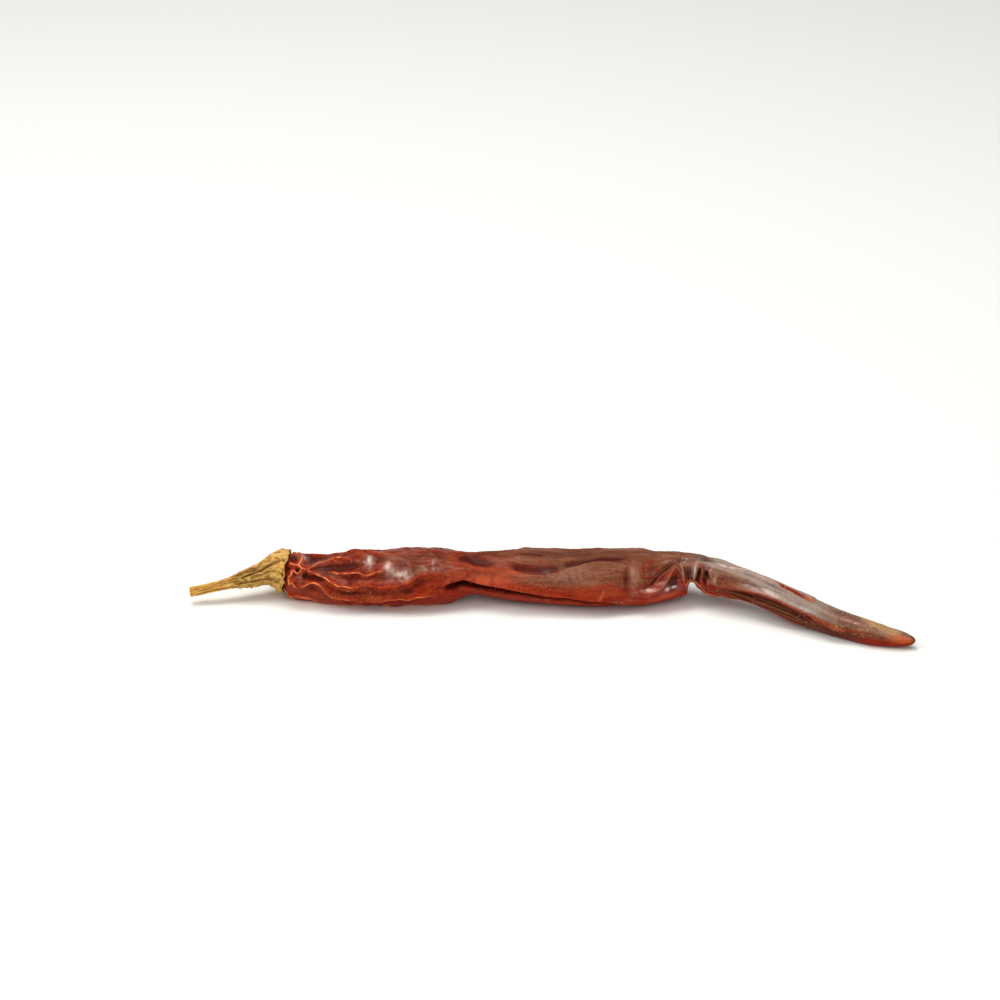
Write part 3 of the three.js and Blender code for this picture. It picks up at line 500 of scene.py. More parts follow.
def relief(s, round_, radius, folds, grooves, dents):
    """What folds, grooves and dents add to the radius, and how strongly a bleached crest runs there."""
    rise, sink, crest, warm = (np.zeros(s.shape) for _ in range(4))
    for f in folds:
        rows = rows_near(s, f.path, max(f.above, f.below) + 1)
        distance, further, run, rest = beside(f.path, s[rows], round_[rows], radius[rows])
        off = np.hypot(distance, FOLD_TIP) - FOLD_TIP
        flank = np.clip(1 - off / np.where(further, f.below, f.above), 0, 1) ** 2
        fade = ease(run, -0.05, f.starts) * ease(rest, -0.05, f.ends)
        rise[rows] = np.maximum(rise[rows], f.height * flank * fade)
        crest[rows] = np.maximum(crest[rows], f.bleach * fade * np.exp(-(distance / CREST_WIDTH) ** 2))
        warm[rows] = np.maximum(warm[rows], f.bleach * fade * np.exp(-(distance / CREST_GLOW) ** 2))
    for g in grooves:
        rows = rows_near(s, g.path, g.reach + 1)
        distance, _, run, rest = beside(g.path, s[rows], round_[rows], radius[rows])
        bowl = np.clip(1 - (distance / g.reach) ** 2, 0, 1) ** 2
        sink[rows] = np.maximum(sink[rows], g.depth * bowl * ease(run, 0, g.starts) * ease(rest, 0, g.ends))
    for d in dents:
        side = wrapped(math.radians(d.around) - round_) * radius / d.across
        length = (s - d.along) / np.where(s < d.along, d.back, d.forward)
        sink += d.depth * np.clip(1 - side * side - length * length, 0, 1) ** 2
    return rise, sink, crest, warm


def lattice(corner, seed):
    """A repeatable random number from -1 to 1 for each whole-numbered corner."""
    n = sum(corner[..., k] * prime for k, prime in enumerate(LATTICE_PRIMES)) + seed * LATTICE_MIX
    n = (n ^ (n >> 13)) * LATTICE_MIX & 0xFFFFFFFF
    return ((n ^ (n >> 16)) & 0xFFFF) / 32767.5 - 1


def noise(p, seed=SEED):
    """Smooth noise from about -1 to 1 at points of space, one unit to a bump."""
    cell = np.floor(p).astype(np.int64)
    t = p - cell
    t = t * t * t * (t * (t * 6 - 15) + 10)
    total = 0
    for corner in np.ndindex(2, 2, 2):
        weight = np.prod(np.where(corner, t, 1 - t), -1)
        total = total + weight * lattice(cell + np.array(corner), seed)
    return total


def layered(p, octaves, seed=SEED):
    """Noise of several sizes, each half as large and half as strong as the last."""
    return sum(noise(p * 2**k + 17.3 * k, seed + k) / 2**k for k in range(octaves))


def creased(p, seed=SEED):
    """Noise with sharp crests, 1 on a crest and towards 0 away from it."""
    return (1 - np.abs(noise(p, seed))) ** 3


def blurred(grid, down, round_):
    """The grid averaged over a few rows and columns, closed round the columns."""
    def kernel(width):
        reach = int(3 * width) + 1
        k = np.exp(-0.5 * (np.arange(-reach, reach + 1) / width) ** 2)
        return k / k.sum(), reach
    k, reach = kernel(down)
    tall = np.pad(grid, ((reach, reach), (0, 0)), mode="edge")
    out = sum(k[i] * tall[i:i + len(grid)] for i in range(2 * reach + 1))
    k, reach = kernel(round_)
    return sum(k[i] * np.roll(out, i - reach, 1) for i in range(2 * reach + 1))


def slack(s):
    """How freely creases wander: 1, and less along the taut middle of the pod."""
    return 1 - 0.7 * band(s, 40, 74, 4)


def drift(s, round_):
    """A slow drift that keeps every crease from being straight."""
    free = slack(s)
    return (s + 0.3 * free * np.sin(1.1 * s + 2 * round_ + 0.4),
            round_ + 0.03 * free * np.sin(0.9 * s + 1.3) + 0.015 * free * np.sin(2.1 * s + 2 * round_))


def placed(name, data):
    """A new object in the scene, at the origin."""
    made = bpy.data.objects.new(name, data)
    bpy.context.scene.collection.objects.link(made)
    return made


def skin_mesh(name, first, rings, last, fields):
    """A closed skin over rings of points with a point at each end. fields are values for every point."""
    count, sides = rings.shape[:2]
    at = 1 + np.arange(count * sides).reshape(count, sides)
    turned = np.roll(at, -1, 1)
    quads = np.stack([at[:-1], turned[:-1], turned[1:], at[1:]], -1).reshape(-1, 4).tolist()
    end = count * sides + 1
    caps = [(0, int(b), int(a)) for a, b in zip(at[0], turned[0])]
    caps += [(end, int(a), int(b)) for a, b in zip(at[-1], turned[-1])]
    points = np.vstack([first, rings.reshape(-1, 3), last]) * MM
    mesh = bpy.data.meshes.new(name)
    mesh.from_pydata(points.tolist(), [], quads + caps)
    mesh.shade_smooth()
    for field, values in fields.items():
        flat = values.reshape(count * sides, -1)
        full = np.vstack([flat[:sides].mean(0), flat, flat[-sides:].mean(0)]).astype(np.float32)
        kind = "FLOAT" if full.shape[1] == 1 else "FLOAT_VECTOR"
        layer = mesh.attributes.new(field, kind, "POINT")
        layer.data.foreach_set("value" if kind == "FLOAT" else "vector", full.ravel())
    return placed(name, mesh)


def spaced(*stretches):
    """Distances along the pod, each stretch given as (from, spacing), up to the last from."""
    out = []
    for (start, spacing), (end, _) in zip(stretches, stretches[1:]):
        out.append(np.linspace(start, end, max(2, round((end - start) / spacing)), endpoint=False))
    return np.concatenate(out)


def spotted(s, round_, radius, spots):
    """How strongly soft patches cover each point of the skin."""
    out = np.zeros(s.shape)
    for p in spots:
        side = wrapped(round_ - math.radians(p.around)) * radius / p.across
        out += p.strength * np.exp(-side * side - ((s - p.along) / p.long) ** 2)
    return out


def flap_form(s, round_, radius):
    """A lip of skin along the top of the tail: its height, its bright edge and the shade under its end."""
    crest_line = np.radians(np.interp(s, *FLAP_LINE))
    off = wrapped(round_ - crest_line) * radius
    opening = ease(s, FLAP_OPENS - 2.5, FLAP_OPENS)
    height = FLAP_HEIGHT * (0.35 + 0.65 * ease(s, FLAP_START, FLAP_OPENS))
    height = height * ease(s, FLAP_START - 0.3, FLAP_START + 0.2) * (1 - ease(s, FLAP_END, FLAP_END + 0.2))
    drop = 1.1 * (1 - opening) + 0.16 * opening
    top = np.clip(1 + np.minimum(off, 0) / 4.5, 0, 1) ** 1.5 * (1 - ease(off, 0, drop))
    near_end = opening * (1 - ease(s, FLAP_END, FLAP_END + 0.3))
    face = band(off, 0.02, 0.3, 0.12)
    end_face = band(s, FLAP_END + 0.02, FLAP_END + 0.2, 0.1) * band(off, -3, 0.2, 0.3)
    tips = ease(s, FLAP_END - 3.5, FLAP_END - 0.2) + band(s, FLAP_OPENS - 0.3, FLAP_OPENS - 0.2, 0.2)
    edge = limited(near_end * face * tips + end_face)
    shade = near_end * face * (1 - 0.7 * limited(tips))
    return height * top - 0.15 * near_end * band(off, 0.15, 0.35, 0.2), 0.3 * edge, shade


def skin_grid():
    """How far along and how far round each point of the skin is. The columns crowd towards the grid line."""
    turns = np.arange(POD_SIDES) / POD_SIDES * 2 * math.pi - math.pi
    s, turn = np.meshgrid(spaced(*POD_ROWS), turns, indexing="ij")
    followed = np.radians(along(GRID_LINE, s, 1)) - 0.03 * slack(s) * np.sin(0.9 * s + 1.3)
    return s, followed + turn - GRID_CROWDING * np.sin(turn)


def far_side(round_):
    """1 on the side that the camera doesn't see, and 0 on the side that it does."""
    return ease(np.abs(wrapped(round_ - math.radians(55))), math.radians(95), math.radians(130))


def skin_wrinkles(s, round_, grain):
    """The skin's own wrinkles: soft buckles, long creases, facets at the shoulder and a fine crinkle."""
    buckle = 0.1 * layered(grain * (0.12, 0.35, 0.35), 2)
    bent = layered(grain * 0.2, 2)[..., None] * 0.4
    long_crease = creased(grain * (0.12, 0.55, 0.55) + bent, SEED + 3)
    crinkle = 0.03 * creased(grain * (0.9, 1.8, 1.8), SEED + 5) + 0.015 * noise(grain * (1.2, 4, 4), SEED + 9)
    crinkle = crinkle + 0.04 * layered(grain * (0.35, 0.8, 0.8), 2, SEED + 11)
    shoulder = band(s, 5, 30, 5)
    facets = creased(grain * (0.22, 0.34, 0.34) + layered(grain * 0.3, 2)[..., None] * 0.5, SEED + 30)
    creases = (0.07 + 0.2 * far_side(round_)) * (long_crease - 0.3)
    return buckle + creases + 0.2 * shoulder * (facets - 0.3) + crinkle


PodForm = namedtuple("PodForm", "added sink hollow crest warm pale_line flap_edge flap_shade")


def pod_form(s, round_, mean, grain):
    """What folds, grooves, dents, wrinkles and the lip add to the pod's radius, and the lines they leave."""
    drifted = drift(s, round_)
    rise, sink, crest, warm = relief(*drifted, mean, POD_FOLDS, POD_GROOVES, POD_DENTS)
    _, hollow, _, _ = relief(*drifted, mean, [], MIDDLE_HOLLOWS, [])
    _, _, pale_line, _ = relief(*drifted, mean, HIGHLIGHT_LINES, [], [])
    inside = ease(s, 0.2, 1.5) * (1 - ease(s, POD_LENGTH - 2.2, POD_LENGTH))
    wrinkles = skin_wrinkles(s, round_, grain)
    flap, flap_edge, flap_shade = flap_form(s, round_, mean)
    pulled_in = SAG * ease(s, 0, 4) * (1 - ease(s, 118, POD_LENGTH))
    added = inside * (rise - sink - hollow + wrinkles * ease(s, 1, 4) + flap) - pulled_in
    return PodForm(added, sink, hollow, crest * inside, warm * inside, pale_line, flap_edge, flap_shade)


def skin_fields(s, round_, mean, grain, radius, form):
    """Where the skin is bleached, sunken, brown, golden and so on, with painted shade, glow and light, for
    its finish.
    """
    degrees = np.degrees(wrapped(round_))
    side = np.abs(degrees)
    below_edge = degrees - np.interp(s, *TAIL_EDGE_LINE)
    tail = ease(s, 87, 92) * (1 - ease(s, 111, 117))
    notch_rim = band(s, 79.9, 87.0, 0.5) * band(degrees - np.interp(s, *NOTCH_LINE), 1, 9, 4)

    # Noises that break the patches up: cloudy, broken, patchy and wispy.
    cloud = layered(grain * (0.1, 0.3, 0.3) + 5, 3, SEED + 20)
    broken = 0.68 + 0.6 * noise(grain * (1.3, 0.7, 0.7), SEED + 24)
    patchy = 0.7 + 0.5 * noise(grain * (0.8, 1.1, 1.1), SEED + 26)
    wisps = noise(grain * (1.9, 1.0, 1.0), SEED + 27) + 0.6 * noise(grain * (3.6, 2, 2), SEED + 28)
    wispy = 0.25 + 0.9 * ease(wisps, -0.6, 0.5)

    def spots(patches):
        return spotted(s, round_, mean, patches)

    # Bleached crests, the lip's edge, the rim of the notch, and a line of painted glow low on the shoulder.
    crest = form.crest * broken * (1 - 0.75 * ease(s, 18, 44))
    crest = crest * (1 - 0.6 * ease(s, 13, 16) * band(degrees, 56, 86, 5)) + form.flap_edge + 0.35 * notch_rim
    painted_underglow = patchy * band(degrees + 4 * cloud, 137, 150, 6) * ease(s, 1, 3) * (1 - ease(s, 26, 44))

    # Painted shade where the skin is lower than round it, and in the middle hollows, deepening their own dark
    # red.
    sunken = blurred(radius, 9, 9) - radius
    hollow = (sunken * 1.9 + 0.42 * form.sink) * (1 - 0.6 * far_side(round_)) + 0.5 * form.flap_shade
    # The middle hollows' own dark red, made deeper with their depth as painted shade.
    stain = form.hollow * 5 - 0.55 + 0.4 * cloud * band(s, 34, 76, 4) * band(degrees, -30, 50, 10)

    # Brown on top from the middle to the tail, but not where the kink glows red.
    brown = 0.55 * patchy * band(s, 21, 32, 4) * band(degrees, 2, 48, 14)
    brown = brown + ease(s, 31, 52) * (1 - ease(side + 20 * cloud, 62, 84)) + 0.25 * cloud + 0.5 * tail
    brown = brown - 0.6 * band(s, 72, 79, 1.5) * band(degrees, 60, 120, 20) - 0.6 * form.flap_shade
    brown = brown - 0.5 * np.exp(-((s - 72.8) / 1.4) ** 2) * band(degrees, 14, 36, 12)

    # Painted sheen, a grey haze of reflected light, on top of the tail; painted highlights and some pale
    # dust.
    bloom = ease(s, 80, 86) * band(degrees + 6 * cloud, -24, 26 + 26 * ease(s, 92, 98), 12)
    bloom = bloom * (1 - 0.8 * ease(s + 2 * cloud, 104, 111)) - form.flap_shade
    # Painted highlights, and some pale dust, in patches and lines.
    pale = np.maximum(spots(HIGHLIGHT_AND_DUST_SPOTS) * wispy, form.pale_line * broken)

    # Painted glow of clear red, low on both sides, on some spots and under the tip; and orange at the tip.
    glow = band(side + 8 * cloud, 84, 150, 16) * (0.5 + 0.5 * band(s, 34, 80, 3)) * (1 - 0.75 * tail)
    glow = glow + spots(RED_GLOW_SPOTS) + band(s, 115, 123, 4) * ease(below_edge, 0, 14)
    ember = ease(s, 117.5, 121.5) * band(degrees, 40, 82, 18) + spots(ORANGE_SPOTS) * wispy

    # Bright red painted glow low on the near side, a red edge along the tail, and stripes below that edge.
    rim = band(degrees + 5 * cloud, 128, 150, 10) * (1 - 0.5 * band(s, 34, 64, 3)) * (1 - 0.85 * tail)
    tail_line = ease(s, 85, 90) * (1 - ease(s, 112, 118)) * patchy * np.exp(-((below_edge - 3) / 6) ** 2)
    rim = rim + 0.9 * tail_line + 0.9 * form.flap_shade
    stripe = band(s, 88, 106, 2) * band(below_edge, 8, 46, 6) * np.sin(round_ * mean * 9 + 5 * cloud)

    # A waxy shine on the upper near side, strongest at the kink.
    sheen = band(degrees + 8 * cloud, 4, 62 + 40 * band(s, 74, 88, 3), 14) * (0.1 + 0.5 * ease(s, 70, 78))
    sheen = sheen * ease(cloud, -0.7, 0.5) + pale

    # Golden crust near the tip, and grains of pith.
    gold = 1.3 * band(s, 115, 118.5, 4) * band(degrees - 4 * (s - 115), -30, 14, 26) * (0.8 + 0.5 * cloud)
    gold = gold + 0.45 * band(s, 109.5, 114, 2.5) * band(degrees, 50, 84, 16) + 0.8 * (patchy - 0.8)

    flecked = FLECKS_EVERYWHERE
    for strength, reach, turn in FLECK_PATCHES:
        flecked = flecked + strength * band(s, *reach) * band(degrees, *turn)

    return {
        # Bleached crests, and a line of painted glow low on the shoulder.
        "crest": limited(crest + 0.5 * painted_underglow),
        "warm": limited(form.warm + 3 * form.flap_edge + notch_rim),
        # Painted shade in low places, on the shade spots and under the lip's end.
        "hollow": limited(hollow + spots(SHADE_SPOTS)),
        # Dark red of the middle hollows, partly painted shade.
        "stain": limited(stain),
        "brown": limited(brown),
        # Painted sheen on top of the tail.
        "bloom": limited(bloom),
        # Painted highlights and some pale dust.
        "pale": limited(pale - form.flap_shade),
        # Painted glow.
        "glow": limited(glow),
        "ember": limited(ember),
        # Painted light on facets and crests.
        "rosy": limited(spots(ROSY_LIGHT_SPOTS) * patchy),
        "glint": limited(spots(GLINT_SPOTS)),
        # Painted glow low on the near side, and the tail's red edge.
        "rim": limited(rim),
        "stripe": stripe * np.clip(wispy + 0.4 * cloud, 0.1, 1) * 0.8,
        "shade": tail * band(below_edge, 5, 70, 6),
        "sheen": limited(sheen),
        "gold": limited(gold) * band(s, 108, 121, 2),
        "fleck": band(degrees, -100, 108, 4) * limited(flecked) * ease(cloud, -0.9, 0.3),
        "grain": grain,
    }


def make_pod():
    """The pod's skin, on rings round the axis, with the fields that its finish reads."""
    s, round_ = skin_grid()
    wide, above, below = (along(POD_STATIONS, s, k) for k in (3, 4, 5))
    high = np.where(np.cos(round_) > 0, above, below)
    base = 1 / np.hypot(np.sin(round_) / wide, np.cos(round_) / high)
    mean = (wide + above) / 2
    grain = np.stack([s, np.cos(round_) * mean, np.sin(round_) * mean], -1)
    form = pod_form(s, round_, mean, grain)
    radius = base + np.maximum(form.added, -0.7 * base)
    rings = surface_point(POD_STATIONS, s, round_, radius)
    fields = skin_fields(s, round_, mean, grain, radius, form)
    neck, tip = axis_place(POD_STATIONS, NECK_START), axis_place(POD_STATIONS, POD_LENGTH)
    return skin_mesh("pod_skin", neck, rings, tip, fields)


def rim_at(round_):
    """The rim of the calyx: blunt teeth of uneven length."""
    return 0.1 + 0.16 * np.sin(5 * round_ + 0.6) + 0.1 * np.sin(11 * round_ + 2) + 0.06 * np.sin(17 * round_)


def stalk_form(s, round_):
    """The stalk's radius, the place of its grain, where it is pitted and where it is ridged."""
    radius = along(STALK_STATIONS, s, 3)
    _, groove, _, _ = relief(s, round_, radius, [], STALK_GROOVES, STALK_DENTS)
    rib = 1 + along(STALK_STATIONS, s, 4) * np.cos(STALK_RIBS * round_ + 0.12 * s)
    grain = np.stack([s * 0.35, np.cos(round_) * radius, np.sin(round_) * radius], -1)
    thick = band(s, -9.5, -0.5, 2.5)
    warp = grain + 0.25 * layered(grain * (1.2, 1, 1), 2, SEED + 39)[..., None]
    fibre = 0.1 * (creased(warp * (0.5, 3.4, 3.4), SEED + 31) - 0.4)
    fibre = fibre + 0.05 * thick * noise(grain * (1, 3, 3), SEED + 33)
    knots, small_knots = creased(warp * (2.2, 1.3, 1.3), SEED + 35), creased(warp * (4, 2.6, 2.6), SEED + 36)
    crinkle = thick * (0.2 * knots + 0.1 * small_knots - 0.1)
    fine = 0.03 * noise(grain * (4, 8, 8), SEED + 37)
    spots = 0
    for d in STALK_DENTS:
        across = wrapped(round_ - math.radians(d.around)) * radius
        spots = spots + np.exp(-((s - d.along) ** 2 + across ** 2) / 0.12)
    # Painted shade in the grooves, the low fibres and the dents by the calyx.
    pits = limited(groove * 4 + np.clip(-(fibre + crinkle) * 7, 0, 0.8) + 1.5 * spots)
    # Painted highlights on the raised fibres and knots.
    ridges = limited((fibre + crinkle) * 8 - groove * 4)
    return radius * rib - groove + fibre + crinkle + fine, grain, pits, ridges


def calyx_ring(turn, offset, radius, ragged=0.0):
    """A ring of the calyx. Without ragged it is inside the cup, and offset is its place along the stalk."""
    where = (rim_at(turn) if ragged else 0) + offset
    frayed = ragged * noise(np.stack([turn * 0, np.cos(turn) * 6, np.sin(turn) * 6], -1), SEED + 41)
    return surface_point(STALK_STATIONS, where + frayed, turn, np.full(turn.shape, radius))


def make_stalk():
    """The stalk and calyx: out along the woody skin to the ragged rim, then back inside the cup."""
    turn = np.arange(STALK_SIDES) / STALK_SIDES * 2 * math.pi
    cut = np.array(STALK_END)
    rows = np.concatenate([[-STALK_LENGTH] * len(cut), spaced((-STALK_LENGTH, 0.1), (-0.2, 0))])
    s, round_ = np.meshgrid(rows, turn, indexing="ij")
    radius, grain, pits, ridges = stalk_form(s, round_)
    radius[:len(cut)] *= cut[:, None]
    outer = surface_point(STALK_STATIONS, s, round_, radius)
    domed = 0.12 * (1 - cut[:4, None] ** 2)
    outer[:4, :, 0] += domed + 0.05 * noise(grain[:4] * (1, 3, 3) * cut[:4, None, None])
    inner = np.array([calyx_ring(turn, *ring) for ring in CALYX_RIM + CALYX_CUP])

    def extended(field, value):
        return np.vstack([field, np.full((len(inner), STALK_SIDES), value)])
    olive = band(s, -9.5, -4.5, 2.5) + 0.45 * ease(s, -4.5, -2.5) + 0.4 * noise(grain, SEED + 43)
    fields = {
        # Painted shade in the grooves and pits, and in the cup.
        "groove": extended(pits, 0.3),
        "ridge": extended(ridges, 0),
        "olive": extended(limited(olive), 0.3),
        # Painted shade inside the cup.
        "inside": extended(np.zeros(s.shape), 1.0),
        "grain": np.concatenate([grain, np.repeat(grain[-1:], len(inner), 0)]),
    }
    fields["inside"][len(rows):len(rows) + CALYX_WOODY_RINGS] = 0
    start = axis_place(STALK_STATIONS, -STALK_LENGTH) + (0.13, 0, 0)
    end = axis_place(STALK_STATIONS, CALYX_FLOOR)
    return skin_mesh("stalk_skin", start, np.concatenate([outer, inner]), end, fields)


def make_stalk_lines():
    """Lines that lie on the stalk's surface, for its loose fibres to follow."""
    draw = np.random.default_rng(SEED)
    points, edges, grains = [], [], []
    for _ in range(FIBRE_COUNT):
        start, length = draw.uniform(-18.5, -3.5), draw.uniform(1.5, 5.5)
        s = np.arange(start, min(start + length, -0.6), 0.22)[:, None]
        bearing = draw.uniform(0, 2 * math.pi)
        round_ = bearing + draw.uniform(-0.05, 0.05) * (s - start) + 0.05 * np.sin(2 * s + bearing)
        radius, grain, _, _ = stalk_form(s, round_)
        first = len(points)
        points += (surface_point(STALK_STATIONS, s, round_, radius + 0.02) * MM).reshape(-1, 3).tolist()
        edges += [(first + k, first + k + 1) for k in range(len(s) - 1)]
        grains += grain.reshape(-1, 3).tolist()
    mesh = bpy.data.meshes.new("stalk_lines")
    mesh.from_pydata(points, edges, [])
    mesh.attributes.new("grain", "FLOAT_VECTOR", "POINT").data.foreach_set("vector", np.ravel(grains))
    return placed("stalk_lines", mesh)


class Socket:
    """A node's output that can be added, multiplied and so on as a number."""

    def __init__(self, nodes, output):
        self.nodes = nodes
        self.output = output

    def _math(self, operation, a, b=0.0, clamp=False):
        settings = {"operation": operation, "use_clamp": clamp}
        return self.nodes.node("ShaderNodeMath", settings, {0: a, 1: b})["Value"]

    def __add__(self, other):
        return self._math("ADD", self, other)

    __radd__ = __add__

    def __mul__(self, other):
        return self._math("MULTIPLY", self, other)

    __rmul__ = __mul__

    def __sub__(self, other):
        return self._math("SUBTRACT", self, other)

    def __rsub__(self, other):
        return self._math("SUBTRACT", other, self)

    def clipped(self):
        return self._math("ADD", self, 0.0, clamp=True)

    def stepped(self, low, high):
        """0 below low, 1 above high, smooth between."""
        settings = {"interpolation_type": "SMOOTHSTEP"}
        values = {"Value": self, "From Min": low, "From Max": high}
        return self.nodes.node("ShaderNodeMapRange", settings, values)["Result"]


class Nodes:
    """A tree of nodes, all of them added by node()."""

    def __init__(self, tree):
        self.tree = tree

    def node(self, kind, settings=None, values=None):
        """Adds a node: its type, then its settings, then the values or links of its sockets."""
        made = self.tree.nodes.new(kind)
        for setting, value in (settings or {}).items():
            setattr(made, setting, value)
        for socket, value in (values or {}).items():
            if isinstance(value, Socket):
                self.tree.links.new(value.output, made.inputs[socket])
            else:
                made.inputs[socket].default_value = value
        return {o.name: Socket(self, o) for o in made.outputs if o.enabled}


class Finish(Nodes):
    """A material whose surface is one Principled shader."""

    def __init__(self, name):
        self.material = bpy.data.materials.new(name)
        self.material.use_nodes = True
        self.material.node_tree.nodes.clear()
        super().__init__(self.material.node_tree)

    def fields(self, names):
        """The values that the piece's mesh holds under these names."""
        return [self.node("ShaderNodeAttribute", {"attribute_name": n})["Fac"] for n in names.split()]

    def grain(self):
        """The place on the piece, in millimetres, that its patterns follow."""
        return self.node("ShaderNodeAttribute", {"attribute_name": "grain"})["Vector"]

    def scaled(self, vector, x, y, z):
        values = {"Vector": vector, "Scale": (x, y, z)}
        return self.node("ShaderNodeMapping", {"vector_type": "POINT"}, values)["Vector"]

    def noise(self, vector, scale, detail=2.0, rough=0.5, warp=0.0):
        values = {"Vector": vector, "Scale": scale, "Detail": detail, "Roughness": rough, "Distortion": warp}
        return self.node("ShaderNodeTexNoise", {}, values)["Fac"]

    def mix(self, share, a, b):
        """Colour a turned to colour b by share."""
        return self.node("ShaderNodeMix", {"data_type": "RGBA"}, {0: share, 6: a, 7: b})["Result"]

    def painted(self, color, *layers):
        """A colour with others laid over it in turn, each given as (share, colour)."""
        for share, over in layers:
            color = self.mix(share, color, over)
        return color

    def bump(self, height, distance):
        """The normal that a height, in units of distance, gives."""
        values = {"Strength": 1.0, "Distance": distance, "Height": height}
        return self.node("ShaderNodeBump", {}, values)["Normal"]

    def surfaced(self, **values):
        """The material, with the values or links of its shader's sockets."""
        named = {socket.replace("_", " "): value for socket, value in values.items()}
        shader = self.node("ShaderNodeBsdfPrincipled", {}, named)["BSDF"]
        self.node("ShaderNodeOutputMaterial", {}, {"Surface": shader})
        return self.material


def srgb(red, green, blue):
    """A screen colour, 0 to 255, as the linear colour that a shader takes."""
    def linear(c):
        c /= 255
        return c / 12.92 if c <= 0.04045 else ((c + 0.055) / 1.055) ** 2.4
    return (linear(red), linear(green), linear(blue), 1.0)


CRIMSON = srgb(98, 15, 5)
RED = srgb(150, 38, 11)
DUSTY_RED = srgb(160, 70, 40)
RUST = srgb(164, 66, 24)
OXBLOOD = srgb(76, 11, 5)
GLOWING_DARK = srgb(114, 18, 7)
GLOWING_LIGHT = srgb(158, 38, 13)
BROWN = srgb(120, 70, 46)
PALE_BROWN = srgb(150, 116, 94)
RED_BROWN = srgb(98, 36, 22)
ROSY_LIGHT = srgb(182, 76, 46)
TAIL_SHADE = srgb(74, 30, 18)
TAIL_SHEEN_GREY = srgb(156, 141, 128)
LIGHT_GRIT = srgb(158, 106, 72)
DARK_GRIT = srgb(78, 30, 17)
SHADED_DARK_RED = srgb(98, 22, 8)
DUST_AND_HIGHLIGHT_PINK = srgb(208, 168, 144)
GOLD_DARK = srgb(172, 120, 64)
GOLD_LIGHT = srgb(218, 184, 124)
EMBER = srgb(206, 90, 36)
WARM_RED = srgb(190, 58, 18)
PAINTED_SHADE_RED = srgb(66, 14, 6)
STRIPE_LIGHT = srgb(134, 88, 54)
STRIPE_DARK = srgb(52, 20, 12)
RIM_RED = srgb(160, 36, 13)
CREST_ORANGE = srgb(242, 140, 78)
GLINT_WHITE = srgb(255, 240, 230)


